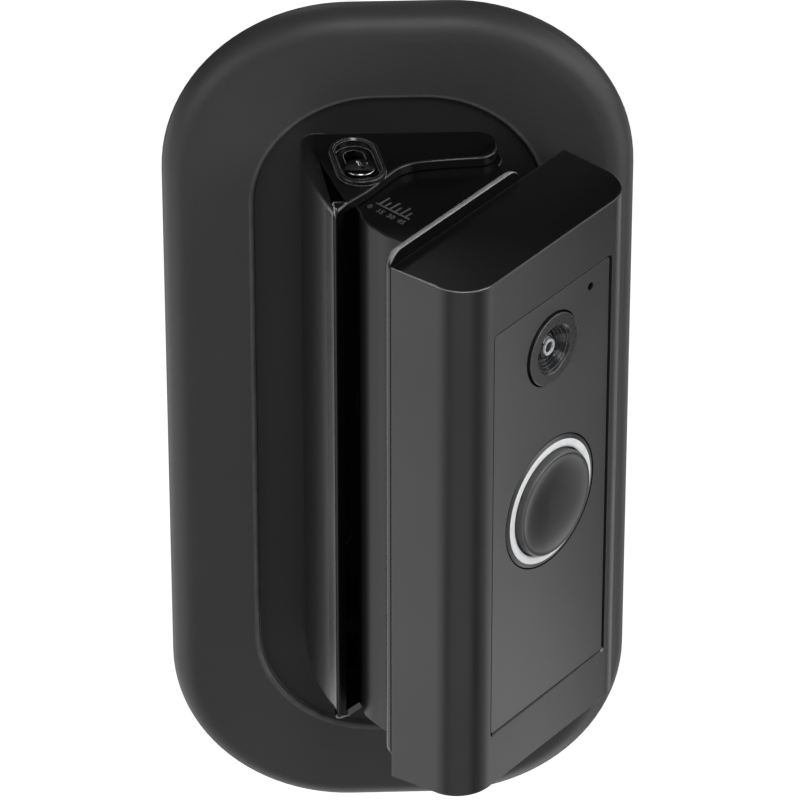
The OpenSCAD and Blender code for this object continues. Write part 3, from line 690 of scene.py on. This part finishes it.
def wall_plate():
    piece = loft("wall_plate_body", plate_rings(), UPRIGHT)
    through = (-1, plate_t + 1)
    mark_r = 2.2
    mark_depth = 0.15
    cutters = [hole(cable_bore_r, 0, base_mid_z, *through)]
    for side in (-1, 1):
        cutters.append(hole(wall_hole_r, 0, base_mid_z + side * wall_hole_z, *through))
        for corner in (-1, 1):
            cutters.append(hole(mark_r, side * 24, corner * 46, -1, mark_depth))
    cut(piece, *cutters)
    finish_piece(piece, "base", "plate", "wall_plate")
    # The recess floor gets the darker copy: painted shade
    extra_material(piece, "plate_floor_shaded",
                   lambda centre, normal: normal.y < -0.9 and abs(centre.y - floor_y) < 0.01)


# ---------- fixed base ----------

base_top = joints["lock_screw_top_turn"]["pos_m"][2] / MM + 2.2
pivot = Vector(joints["swivel_turn"]["pos_m"][:2]) / MM
lock_at = Vector(joints["lock_screw_top_turn"]["pos_m"][:2]) / MM
swing_low, swing_high = joints["swivel_turn"]["range_deg"]
flange_t = 1.6
boss_rise = 0.8
boss_r = 4.0
dip_r = 3.1
dip_flare_r = 3.4
slot_half_w = 1.7
base_screw_r = 1.6
base_screw_at = (11, 27)
wall_t = 1.6
plate_front_y = floor_y - 2.0


def base_left_wall():
    """Plan of the base's left wall, from its root to its front edge."""
    return curve_through([(base_low.x, floor_y), (-15.95, -9), (-15.5, -13.5), (-14.6, -18),
                          (-13.3, -22.3), (-11.9, -25.8), (-11.3, -27.2)], steps=5)


def base_outline(behind):
    """Plan of the base, whose left wall runs on behind the recess floor, and its edge radii."""
    tip_r = 3.6
    tip_x = base_high.x - tip_r
    wall = [(base_low.x, floor_y + behind)] + base_left_wall()
    front = curve_through([(-11.2, -28.3), (-10.5, -28.0), (-8.6, -26.1), (-5.4, -22.7), (-2.6, -18.9),
                           (-0.2, -15.9), (2.6, -14.4), (7.6, -13.7), (tip_x, -13.3)], steps=6)
    tip = arc((tip_x, -13.3 + tip_r), tip_r, -84, 0, 10)
    back = arc((tip_x, floor_y - tip_r), tip_r, 0, 90, 10)
    heel = [(base_low.x + 4, floor_y), (base_low.x + 4, floor_y + behind)]
    outline = wall + front + tip + back + heel
    edge = 0.35
    big = 2.2
    radii = [big] * (len(wall) + 2)
    fade = 10
    radii += [edge + (big - edge) * (1 - (k + 1) / fade) for k in range(fade)]
    radii += [edge] * (len(outline) - len(radii))
    return outline, radii


def slot_outline(radius):
    """Outline round the slot that the lock screw travels in."""
    reach = lock_at - pivot
    slot_r = reach.length
    here = math.degrees(math.atan2(reach.y, reach.x))
    middle = here + (swing_low + swing_high) / 2
    half_span = math.radians((swing_high - swing_low) / 2)
    rise = slot_r * (1 - math.cos(half_span))
    direction = Vector((math.cos(math.radians(middle)), math.sin(math.radians(middle))))
    centre = pivot + (slot_r - rise / 2) * direction
    return stadium(centre, middle + 90, slot_r * math.sin(half_span), radius)


def mirrored(low, high):
    """Two heights mirrored about the base's middle, the lower one first."""
    return 2 * base_mid_z - high, 2 * base_mid_z - low


def mount_base():
    behind = 3
    outline, radii = base_outline(behind)
    top = base_top
    bottom = 2 * base_mid_z - top
    piece = slab("mount_base_body", outline, bottom, top, radii, radii)
    waste = [(-30, floor_y), (30, floor_y), (30, floor_y + 2 * behind), (-30, floor_y + 2 * behind)]
    cut(piece, slab("cutter", waste, bottom - 1, top + 1))
    inner_wall = [(x + wall_t, y) for x, y in base_left_wall() if y < plate_front_y]
    inner_wall = [(base_low.x + wall_t + 0.1, plate_front_y)] + inner_wall
    cavity = inner_wall + [(inner_wall[-1][0] + 1.4, -40), (40, -40), (40, plate_front_y)]
    cut(piece, slab("cutter", cavity, bottom + flange_t, top - flange_t))
    bosses = []
    recesses = []
    for upper in (True, False):
        rise = (top - 0.5, top + boss_rise)
        dip = (top - 0.6, top + 3)
        rim = (top + boss_rise - 0.3, top + boss_rise)
        through = (top - 4, top + 3)
        edges = (0, 0.3)
        if not upper:
            rise, through = (mirrored(*span) for span in (rise, through))
            dip, rim = ((2 * base_mid_z - a, 2 * base_mid_z - b) for a, b in (dip, rim))
            edges = (0.3, 0)
        bosses.append(slab("boss", slot_outline(boss_r), *rise, *edges))
        flare = ((dip_r, dip[0]), (dip_r, rim[0]), (dip_flare_r, rim[1]), (dip_flare_r, dip[1]))
        recesses.append(loft("cutter", [level(slot_outline(radius), z) for radius, z in flare]))
        recesses.append(slab("cutter", slot_outline(slot_half_w), *through))
    join(piece, *bosses)
    cut(piece, *recesses)
    span = (-floor_y - 1, -plate_front_y)
    cutters = [hole(cable_bore_r, 0, base_mid_z, span[0], span[1] + 1)]
    for side in (-1, 1):
        cutters.append(hole(wall_hole_r, 0, base_mid_z + side * wall_hole_z, *span, countersink=1.2))
        for corner in (-1, 1):
            x, z = side * base_screw_at[0], base_mid_z + corner * base_screw_at[1]
            cutters.append(hole(base_screw_r, x, z, *span, countersink=1.4))
    cut(piece, *cutters)
    finish_piece(piece, "base", "bracket", "mount_base")
    half_inside = top - flange_t - base_mid_z + 0.1
    polished_y = -24.9

    def inside(centre, normal):
        if abs(centre.z - base_mid_z) > half_inside:
            return False
        return abs(centre.y - plate_front_y) < 0.1 or normal.x > 0.5 or abs(normal.z) > 0.9

    # Faces inside the base's cavity get the near-black plastic: painted shade
    extra_material(piece, "bracket_inside_shade", inside)

    def lower_front(centre, normal):
        return centre.z < bottom + flange_t and abs(normal.z) < 0.5 and normal.y < -0.2

    def wall_edge(centre, normal):
        return centre.y < polished_y and normal.x < -0.5 and abs(normal.z) < 0.3

    # The lower flange's front gets the less reflective copy: painted shade
    extra_material(piece, "bracket_swivel_shaded", lower_front)
    extra_material(piece, "gloss_black", wall_edge)


# ---------- swivel bracket ----------

bracket_low, bracket_high = bell_box("swivel_bracket")
bell_low, bell_high = bell_box("outer_shell")
back_front = bell_high.y
back_plate_t = 1.8
arm_top = base_top - flange_t - 0.2
arm_t = 2.4
bracket_plate_right = 11.5
mount_screw_at = (-3, 37)
wall_joint_x = -16.9
wall_corner = Vector((-7.1, -28.3))
wall_joint = Vector(bell_plan(wall_joint_x, back_front + back_plate_t))
wall_along = (wall_joint - wall_corner).normalized()
wall_inward = Vector((-wall_along.y, wall_along.x))


def swivel_arms():
    """Both arms and the wall between them, as one bent part."""
    right_end = bell_plan(bracket_plate_right, back_front + back_plate_t - 0.2)
    joint = bell_plan(wall_joint_x, back_front + back_plate_t - 0.2)
    lug = arc(pivot, 3.6, -35, 105, 12)
    pad = arc(lock_at, 3.8, 85, 195, 12)
    corner = curve_through([(-7.1, -26.4), (-6.75, -28.5), (-5.75, -30.4), (-4.35, -32.2), (-2.8, -34.1),
                            tuple(wall_joint - wall_along * 1.2)], steps=5)
    outline = corner + [joint, right_end] + lug + pad
    bottom = 2 * base_mid_z - arm_top
    piece = slab("swivel_bracket_body", outline, bottom, arm_top, 0.3, 0.3)
    inside = wall_corner + wall_inward * wall_t
    near = inside - wall_along * 30
    far = inside + wall_along * 30
    space = [tuple(near), tuple(far), (60, -40), (60, 40), (-40, 40)]
    cut(piece, slab("cutter", space, bottom + arm_t, arm_top - arm_t))
    return piece


def swivel_bracket():
    piece = swivel_arms()
    width = bracket_plate_right - bracket_low.x
    height = bracket_high.z - bracket_low.z
    centre = ((bracket_plate_right + bracket_low.x) / 2, (bracket_high.z + bracket_low.z) / 2)
    rear = -back_front - back_plate_t
    outline = rounded_rect(width, height, 3, centre)
    plate = slab("swivel_back_plate", outline, rear, -back_front, 1.57, 0.22, BELL_UPRIGHT, steps=8)
    window = rounded_rect(18, 40, 3, (-3, 4))
    extras = []
    holes = []
    plate_holes = [slab("cutter", window, rear - 1, -back_front + 1, place=BELL_UPRIGHT)]
    for side in (-1, 1):
        place = on_front(mount_screw_at[0], side * mount_screw_at[1])
        boss = [(3, rear + 0.02), (3, rear - 2.7), (2.7, rear - 3)]
        extras.append(lathe("boss", boss, place, steps=40))
        for cutters in (holes, plate_holes):
            cutters.append(lathe("cutter", [(1.5, -back_front + 1), (1.5, rear - 4)], place, steps=32))
    for centre_at, radius in ((pivot, 1.3), (lock_at, 1.5)):
        holes.append(slab("cutter", circle(radius, centre_at, 32), -60, 70))
    cut(plate, *plate_holes)
    finish_piece(plate, "swivel", "bracket_top", "swivel_bracket")
    forward = -Vector(press_axis)
    # The back plate's front face gets the near-black plastic: painted shade
    extra_material(plate, "bracket_inside_shade", lambda centre, normal: normal.dot(forward) > 0.95)
    join(piece, *extras)
    cut(piece, *holes)
    # The swivel gets the less reflective copy of the bracket's plastic: painted shade
    finish_piece(piece, "swivel", "bracket_swivel_shaded", "swivel_bracket")

    def behind_wall(centre, normal):
        depth = (centre.xy - wall_corner).dot(wall_inward)
        return depth > wall_t - 0.1 and centre.z < arm_top - 0.35

    # Faces behind the swivel's wall get the near-black plastic: painted shade
    extra_material(piece, "bracket_inside_shade", behind_wall)


def angle_scale():
    """Raised scale on the swivel's top: a base line, ticks and generic numbers."""
    start = Vector((-4.0, -24.2))
    turn = math.radians(-45)
    place = Matrix.Translation((start.x, start.y, arm_top)) @ Matrix.Rotation(turn, 4, "Z")
    pitch = 1.15
    width = 0.3
    rise = 0.12
    count = 6
    bars = [(-0.4, -width / 2, count * pitch, width / 2)]
    bars += [(k * pitch, 0, k * pitch + width, 2.6 if k % 2 == 0 else 1.7) for k in range(count)]
    points = []
    faces = []
    for x0, y0, x1, y1 in bars:
        first = len(points)
        edge = 0.05
        points += [(x0, y0, -0.05), (x1, y0, -0.05), (x1, y1, -0.05), (x0, y1, -0.05)]
        points += [(x0 + edge, y0 + edge, rise), (x1 - edge, y0 + edge, rise),
                   (x1 - edge, y1 - edge, rise), (x0 + edge, y1 - edge, rise)]
        faces += [(first, first + 3, first + 2, first + 1), (first + 4, first + 5, first + 6, first + 7)]
        for k in range(4):
            n = (k + 1) % 4
            faces.append((first + k, first + n, first + 4 + n, first + 4 + k))
    piece = make("angle_scale", points, faces, place)
    finish_piece(piece, "swivel", "scale")
    for k, word in enumerate(("0", "15", "30", "45")):
        text = bpy.data.curves.new("number", "FONT")
        text.body = word
        text.size = 1.5 * MM
        text.extrude = rise * MM
        text.align_x = "CENTER"
        text.resolution_u = 4
        figure = add_object("number", text)
        bpy.context.view_layer.update()
        mesh = bpy.data.meshes.new_from_object(figure)
        bpy.data.objects.remove(figure)
        at = place @ Matrix.Translation((k * 2 * pitch - 0.45, -1.95, 0))
        mesh.transform(Matrix.Scale(MM, 4) @ at @ Matrix.Scale(1 / MM, 4))
        finish_piece(add_object(f"scale_number_{k + 1}", mesh), "swivel", "scale")


# ---------- lock screws ----------


def lock_screw(side):
    """Pan-head cross-recess screw with its washer, on the base's top or bottom side."""
    name = f"lock_screw_{side}"
    washer = f"lock_washer_{side}"
    low, high = box(name)
    washer_low, washer_high = box(washer)
    flip = Matrix.Identity(4)
    seat = washer_high.z
    tip = low.z
    if side == "bottom":
        flip = Matrix.Translation((0, 0, 2 * base_mid_z)) @ Matrix.Scale(-1, 4, Vector((0, 0, 1)))
        seat = 2 * base_mid_z - washer_low.z
        tip = 2 * base_mid_z - high.z
    place = flip @ Matrix.Translation((lock_at.x, lock_at.y, 0))
    head_r = 2.6
    head_h = 1.25
    shank_r = 1.4
    profile = [(0, tip), (shank_r - 0.4, tip), (shank_r, tip + 0.4)]
    pitch = 0.5
    turns = int((seat - tip - 1.2) / pitch)
    for k in range(turns):
        z = tip + 0.4 + k * pitch
        profile += [(shank_r - 0.18, z + pitch * 0.5), (shank_r, z + pitch)]
    straight = 0.55
    profile += [(shank_r, seat), (head_r - 0.15, seat), (head_r, seat + 0.15), (head_r, seat + straight)]
    for k in range(1, 9):
        turn = math.pi / 2 * k / 8
        profile.append((head_r * math.cos(turn), seat + straight + (head_h - straight) * math.sin(turn)))
    piece = lathe(f"{name}_body", profile, place, steps=48)
    cutters = []
    for quarter in (20, 110):
        spin = place @ Matrix.Rotation(math.radians(quarter), 4, "Z") @ Matrix.Translation((0, 0, seat))
        rings = [level(rounded_rect(2.9, 0.62, 0.12, steps=3), head_h + 0.2),
                 level(rounded_rect(2.5, 0.5, 0.12, steps=3), head_h - 0.35),
                 level(rounded_rect(0.7, 0.3, 0.1, steps=3), head_h - 1.1)]
        cutters.append(loft("cutter", rings, spin))
    cut(piece, *cutters)
    finish_piece(piece, name, "black_steel", name)
    bore_r = shank_r + 0.05
    base = seat - 0.4
    section = rounded_profile([(bore_r, base), (2.8, base), (2.8, seat), (bore_r, seat)], 0.08)
    ring = lathe(f"{washer}_body", section, place, steps=64, closed_loop=True)
    finish_piece(ring, name, "black_steel", washer)


# ---------- doorbell ----------

bell_w = bell_high.x - bell_low.x
bell_h = bell_high.z - bell_low.z
bell_d = bell_high.y
shell_t = 1.8
bell_r = 6.5
panel_low, panel_high = bell_box("front_panel")
panel_w = panel_high.x - panel_low.x
panel_h = panel_high.z - panel_low.z
lens_low, lens_high = bell_box("lens_bezel")
lens_z = (lens_low.z + lens_high.z) / 2
lens_r = (lens_high.x - lens_low.x) / 2
ring_low, ring_high = bell_box("light_ring")
button_z = (ring_low.z + ring_high.z) / 2
ring_outer_r = (ring_high.x - ring_low.x) / 2
cap_low, cap_high = bell_box("button_cap")
mic_low, mic_high = bell_box("microphone")
mic_at = ((mic_low.x + mic_high.x) / 2, (mic_low.z + mic_high.z) / 2)
screw_low, screw_high = bell_box("security_screw")
DRAFT = math.tan(math.radians(2.3))


def shell_plan(half_width, depth, radius, front, steps=14):
    """Plan of the shell: square at the back, rounded at the front and a little narrower there."""
    lean = (depth - front - radius) * DRAFT
    front_half = half_width - lean
    left = arc((-front_half + radius, front + radius), radius, 180, 270, steps)
    right = arc((front_half - radius, front + radius), radius, 270, 360, steps)
    return [(-half_width, depth)] + left + right + [(half_width, depth)]


def drafted(outline, height, radius, depth):
    """Rings of a block with this plan, whose top and bottom lean in towards the front."""
    rings = []
    spans = [(-1, radius * left, radius * done) for left, done in quarter(4)]
    spans += [(1, radius * done, radius * left) for left, done in quarter(4)]
    back = max(y for x, y in outline)
    for side, step_in, drop in spans:
        amounts = [0 if abs(y - back) < 0.01 else step_in for x, y in outline]
        moved = inset(outline, amounts)
        rings.append([(p[0], p[1], side * (height / 2 - drop - (depth - p[1]) * DRAFT)) for p in moved])
    return rings


def outer_shell():
    rear_gap = 0.18
    rear = bell_d - rear_gap
    outline = shell_plan(bell_w / 2, rear, bell_r, 0)
    piece = loft("outer_shell_body", drafted(outline, bell_h, 0.3, rear), BELL)
    inside = shell_plan(bell_w / 2 - shell_t, bell_d + 2, bell_r - shell_t, shell_t)
    height = bell_h - 2 * shell_t
    hollow = slab("cutter", inside, -height / 2, height / 2, place=BELL)
    opening = (panel_w + 0.36, panel_h + 0.36)
    rings = [level(rounded_rect(opening[0] + 2, opening[1] + 2, 1.4), 0.8),
             level(rounded_rect(opening[0] + 0.4, opening[1] + 0.4, 0.7), 0.0),
             level(rounded_rect(opening[0], opening[1], 0.6), -0.25),
             level(rounded_rect(opening[0], opening[1], 0.6), -4)]
    cutters = [hollow, loft("cutter", rings, BELL_UPRIGHT)]
    slot_count = 5
    for k in range(slot_count):
        x = (k - (slot_count - 1) / 2) * 4
        slot = rounded_rect(2, 3, 0.9, (x, 7.5), steps=6)
        cutters.append(slab("cutter", slot, -bell_h / 2 - 1, -bell_h / 2 + shell_t + 1, place=BELL))
    screw_hole = circle(1.6, (0, 12.2), 40)
    cutters.append(slab("cutter", screw_hole, -bell_h / 2 - 1, -bell_h / 2 + 4, place=BELL))
    cut(piece, *cutters)
    finish_piece(piece, "swivel", "shell", "outer_shell")
    turn_in = BELL.to_3x3().inverted()

    def in_opening(centre, normal):
        at = TO_BELL @ centre
        return 0.05 < at.y < 3 and abs(at.x) < opening[0] / 2 + 0.1 and abs(at.z) < opening[1] / 2 + 0.1

    # The walls of the opening, in the gap, get the near-black plastic: painted shade
    extra_material(piece, "seam_shade", in_opening)
    # Faces along the shell's upper left edge get the light grey: a painted highlight
    extra_material(piece, "shell_edge_highlight",
                   lambda centre, normal: 0.25 < normal.z < 0.97 and (turn_in @ normal).x < -0.1)


def flared_hole(radius, x, z, front, chamfer):
    """A cutter for a hole through the panel, with a small chamfer at its front."""
    profile = [(radius, front - 4), (radius, front - chamfer), (radius + chamfer, front),
               (radius + chamfer, front + 1)]
    return lathe("cutter", profile, on_front(x, z), steps=96)


def front_panel():
    front = -panel_low.y
    back = -panel_high.y
    outline = rounded_rect(panel_w, panel_h, 0.6)
    piece = slab("front_panel_body", outline, back, front, 0, 0.12, BELL_UPRIGHT)
    cut(piece,
        flared_hole(lens_r + 0.22, 0, lens_z, front, 0.12),
        flared_hole(ring_outer_r + 0.16, 0, button_z, front, 0.08),
        flared_hole(0.6, mic_at[0], mic_at[1], front, 0.14))
    finish_piece(piece, "swivel", "panel", "front_panel")
    # The panel's sides and back, in the gap, get the near-black plastic: painted shade
    extra_material(piece, "seam_shade", lambda centre, normal: (TO_BELL @ centre).y > panel_low.y + 0.03)


def front_piece(name, profile, z, material, replaced=None, closed_loop=True, sharp=34):
    """A turned piece of the doorbell's front, on its upright middle line."""
    piece = lathe(name, profile, on_front(0, z), closed_loop=closed_loop)
    finish_piece(piece, "swivel", material, replaced, sharp)


def camera():
    proud = -lens_low.y
    bezel = rounded_profile([(4.8, -lens_high.y), (lens_r, -lens_high.y), (lens_r, proud), (4.45, proud),
                             (4.0, -0.28), (4.8, -0.33)], 0.12)
    front_piece("lens_bezel_body", bezel, lens_z, "bezel", "lens_bezel")
    ledges = [(3.96, -0.36), (3.66, -0.8), (3.5, -0.8), (3.25, -1.2), (3.1, -1.2), (2.85, -1.6),
              (2.7, -1.6), (2.4, -2.1), (2.1, -2.1), (1.7, -2.4), (1.7, -7.9)]
    barrel = [(4.7, -8.0), (4.7, -0.36)] + ledges
    front_piece("lens_barrel_body", barrel, lens_z, "barrel", "lens_barrel", sharp=20)
    # A white ring inside the lens, under the glass: a painted reflection of a light
    reflection_ring_profile = rounded_profile([(1.45, -1.0), (1.45, -0.72), (1.25, -0.62), (0.98, -0.75),
                                 (0.98, -1.0)], 0.05)
    front_piece("lens_reflection_ring", reflection_ring_profile, lens_z, "lens_reflection_white")
    iris = [(2.35, -2.3), (2.35, -2.0), (2.1, -1.5), (1.8, -1.2), (1.46, -0.98), (0.9, -0.98),
            (0.5, -1.5), (0.45, -2.2)]
    front_piece("lens_iris", iris, lens_z, "barrel", sharp=20)
    pupil = [(0.0, -1.5), (0.12, -1.25), (0.3, -1.3), (0.44, -1.5), (0.44, -1.7), (0.0, -1.75)]
    front_piece("lens_pupil", pupil, lens_z, "gloss_black", closed_loop=False)
    dome_r = 3.15
    apex = -0.12
    rim = -0.4
    dome = [(dome_r, rim - 0.03), (dome_r, rim)]
    for k in range(1, 13):
        r = dome_r * (1 - k / 12)
        dome.append((r, apex + (rim - apex) * (r / dome_r) ** 2))
    dome += [(0, apex - 0.4), (dome_r * 0.6, apex - 0.42)]
    front_piece("cover_lens_body", dome, lens_z, "lens_glass", "cover_lens", closed_loop=False)


def light_ring():
    proud = -ring_low.y
    white_r = 11.1
    inner_r = 9.7
    band = rounded_profile([(white_r + 0.02, -ring_high.y), (ring_outer_r, -ring_high.y),
                            (ring_outer_r, -0.25), (white_r + 0.02, -0.02)], 0.12)
    front_piece("light_ring_collar", band, button_z, "panel", "light_ring")
    guide = rounded_profile([(inner_r, -ring_high.y), (white_r, -ring_high.y), (white_r, 0.0),
                             (inner_r + 0.3, proud), (inner_r, proud - 0.15)], 0.1)
    front_piece("light_ring_guide", guide, button_z, "diffuser", "light_ring")


def button_cap():
    radius = 9.4
    front = -cap_low.y
    lip_r = (cap_high.x - cap_low.x) / 2
    edge = 0.4
    dish = 0.9
    stem_end = -cap_high.y + 0.03
    profile = [(0, stem_end), (2.2, stem_end), (2.4, stem_end + 0.2), (2.4, -4.7), (lip_r, -4.7),
               (lip_r, -3.9), (radius, -3.9), (radius, front - edge)]
    for k in range(1, 6):
        turn = math.pi / 2 * k / 5
        profile.append((radius - edge * (1 - math.cos(turn)), front - edge * (1 - math.sin(turn))))
    rim = radius - edge - 0.15
    dish_steps = 22
    for k in range(dish_steps + 1):
        r = rim * (1 - k / dish_steps)
        share = r / rim
        depth = dish * (0.75 * (1 - share ** 2) + 0.25 * (1 - share ** 7))
        profile.append((r, front - depth))
    piece = lathe("button_cap_body", profile, on_front(0, button_z), steps=128)
    finish_piece(piece, "button", "button", "button_cap")


def security_screw():
    place = BELL @ Matrix.Translation((0, (screw_low.y + screw_high.y) / 2, 0))
    head_r = (screw_high.x - screw_low.x) / 2
    low = screw_low.z
    profile = [(0, low), (head_r - 0.4, low), (head_r - 0.1, low + 0.15), (head_r, low + 0.5),
               (head_r, low + 1.2), (1.2, low + 1.2), (1.2, screw_high.z), (0, screw_high.z)]
    piece = lathe("security_screw_body", profile, place, steps=48)
    star = []
    for k in range(60):
        turn = 2 * math.pi * k / 60
        r = 1.05 + 0.14 * math.cos(6 * turn)
        star.append((r * math.cos(turn), r * math.sin(turn)))
    cut(piece, slab("cutter", star, low - 1, low + 0.75, place=place))
    finish_piece(piece, "swivel", "black_steel", "security_screw")


wall_plate()
mount_base()
swivel_bracket()
angle_scale()
lock_screw("top")
lock_screw("bottom")
outer_shell()
front_panel()
camera()
light_ring()
button_cap()
security_screw()

# ---------- stage, camera and light ----------


def make_stage():
    """A plain pale floor well below the object, evenly bright and without effect on it."""
    floor_z = -1.8
    size = 12.0
    mesh = bpy.data.meshes.new("floor")
    half = size / 2
    mesh.from_pydata([(-half, -half, floor_z), (half, -half, floor_z), (half, half, floor_z),
                      (-half, half, floor_z)], [], [(0, 1, 2, 3)])
    floor = add_object("floor", mesh)
    m = Nodes("floor", {"Emission Strength": 1.0})
    cloud = m.noise(3, detail=2)
    pale = m.blend(m.band(cloud, 0.3, 0.7), (0.97, 0.97, 0.97), (1.0, 1.0, 1.0))
    m.surface(pale, 0.9)
    m.feed(m.shader, {"Emission Color": pale})
    mesh.materials.append(materials["floor"])
    floor.visible_shadow = False
    floor.visible_glossy = False
    floor.visible_diffuse = False


def softbox(name, towards, distance, width, height, radiance):
    """An area light that faces the object, seen from it in the direction towards."""
    light = bpy.data.lights.new(name, "AREA")
    light.shape = "RECTANGLE"
    light.size = width
    light.size_y = height
    light.energy = radiance * width * height * math.pi
    lamp = add_object(name, light)
    direction = Vector(towards).normalized()
    lamp.location = direction * distance
    lamp.rotation_mode = "QUATERNION"
    lamp.rotation_quaternion = direction.to_track_quat("Z", "Y")
    lamp.visible_camera = False


def make_world():
    """Pale surroundings for the camera, and a dimmer even fill for the object."""
    world = bpy.data.worlds.new("studio")
    world.use_nodes = True
    tree = world.node_tree
    tree.nodes.clear()
    add = tree.nodes.new
    link = tree.links.new
    output = add("ShaderNodeOutputWorld")
    seen = add("ShaderNodeBackground")
    seen.inputs["Color"].default_value = (1, 1, 1, 1)
    seen.inputs["Strength"].default_value = 1.0
    fill = add("ShaderNodeBackground")
    place = add("ShaderNodeTexCoord")
    split = add("ShaderNodeSeparateXYZ")
    front = add("ShaderNodeMapRange")
    for name, number in (("From Min", 0.1), ("From Max", -0.4), ("To Min", 0.0), ("To Max", 0.16)):
        front.inputs[name].default_value = number
    link(place.outputs["Generated"], split.inputs[0])
    link(split.outputs[1], front.inputs["Value"])
    link(front.outputs[0], fill.inputs["Strength"])
    rays = add("ShaderNodeLightPath")
    mix = add("ShaderNodeMixShader")
    link(rays.outputs["Is Camera Ray"], mix.inputs[0])
    link(fill.outputs[0], mix.inputs[1])
    link(seen.outputs[0], mix.inputs[2])
    link(mix.outputs[0], output.inputs[0])
    bpy.context.scene.world = world


def make_camera():
    camera_data = bpy.data.cameras.new("camera")
    camera_data.sensor_width = 36
    camera_data.lens = 286.78
    eye = add_object("camera", camera_data)
    eye.location = (-0.03191, -0.90031, 0.59655)
    eye.rotation_euler = (math.radians(56.55), 0, math.radians(-2.056))
    bpy.context.scene.camera = eye


make_stage()
make_world()
make_camera()
softbox("left_low", (-0.78, 0.35, -0.52), 0.8, 0.85, 0.75, 1.5)
softbox("left_front", (-0.76, -0.34, -0.56), 0.8, 0.5, 0.6, 1.4)
softbox("left_high", (-0.85, -0.42, 0.34), 0.9, 0.5, 0.5, 3.5)
softbox("right_low", (0.78, -0.21, -0.59), 0.145, 0.05, 0.3, 1.5)
softbox("right_front", (0.77, -0.33, -0.55), 0.6, 0.18, 0.4, 0.5)
softbox("right_back", (0.6, 0.58, -0.55), 0.8, 0.3, 0.5, 1.0)
softbox("right_mid", (0.93, -0.1, -0.2), 0.8, 0.3, 0.25, 2.5)
softbox("right_side", (0.9, 0.15, 0.3), 0.8, 0.6, 0.5, 2.3)
softbox("right_high", (0.8, -0.45, 0.45), 0.9, 0.5, 0.5, 5.2)
softbox("key", (0.03, -0.55, 0.83), 1.0, 0.3, 0.12, 29.0)
softbox("front_top", (0.03, -0.7, 0.6), 1.1, 0.9, 0.4, 2.3)
softbox("front_low", (0.03, -0.83, -0.5), 0.9, 0.9, 0.7, 0.9)
softbox("back_top", (-0.17, 0.62, 0.82), 0.2, 0.07, 0.05, 2.6)
softbox("back", (0.1, 0.95, -0.1), 0.9, 0.7, 0.6, 1.2)
softbox("under", (0.0, 0.15, -0.98), 0.8, 0.8, 0.6, 1.3)

bpy.context.scene.view_settings.view_transform = "Standard"
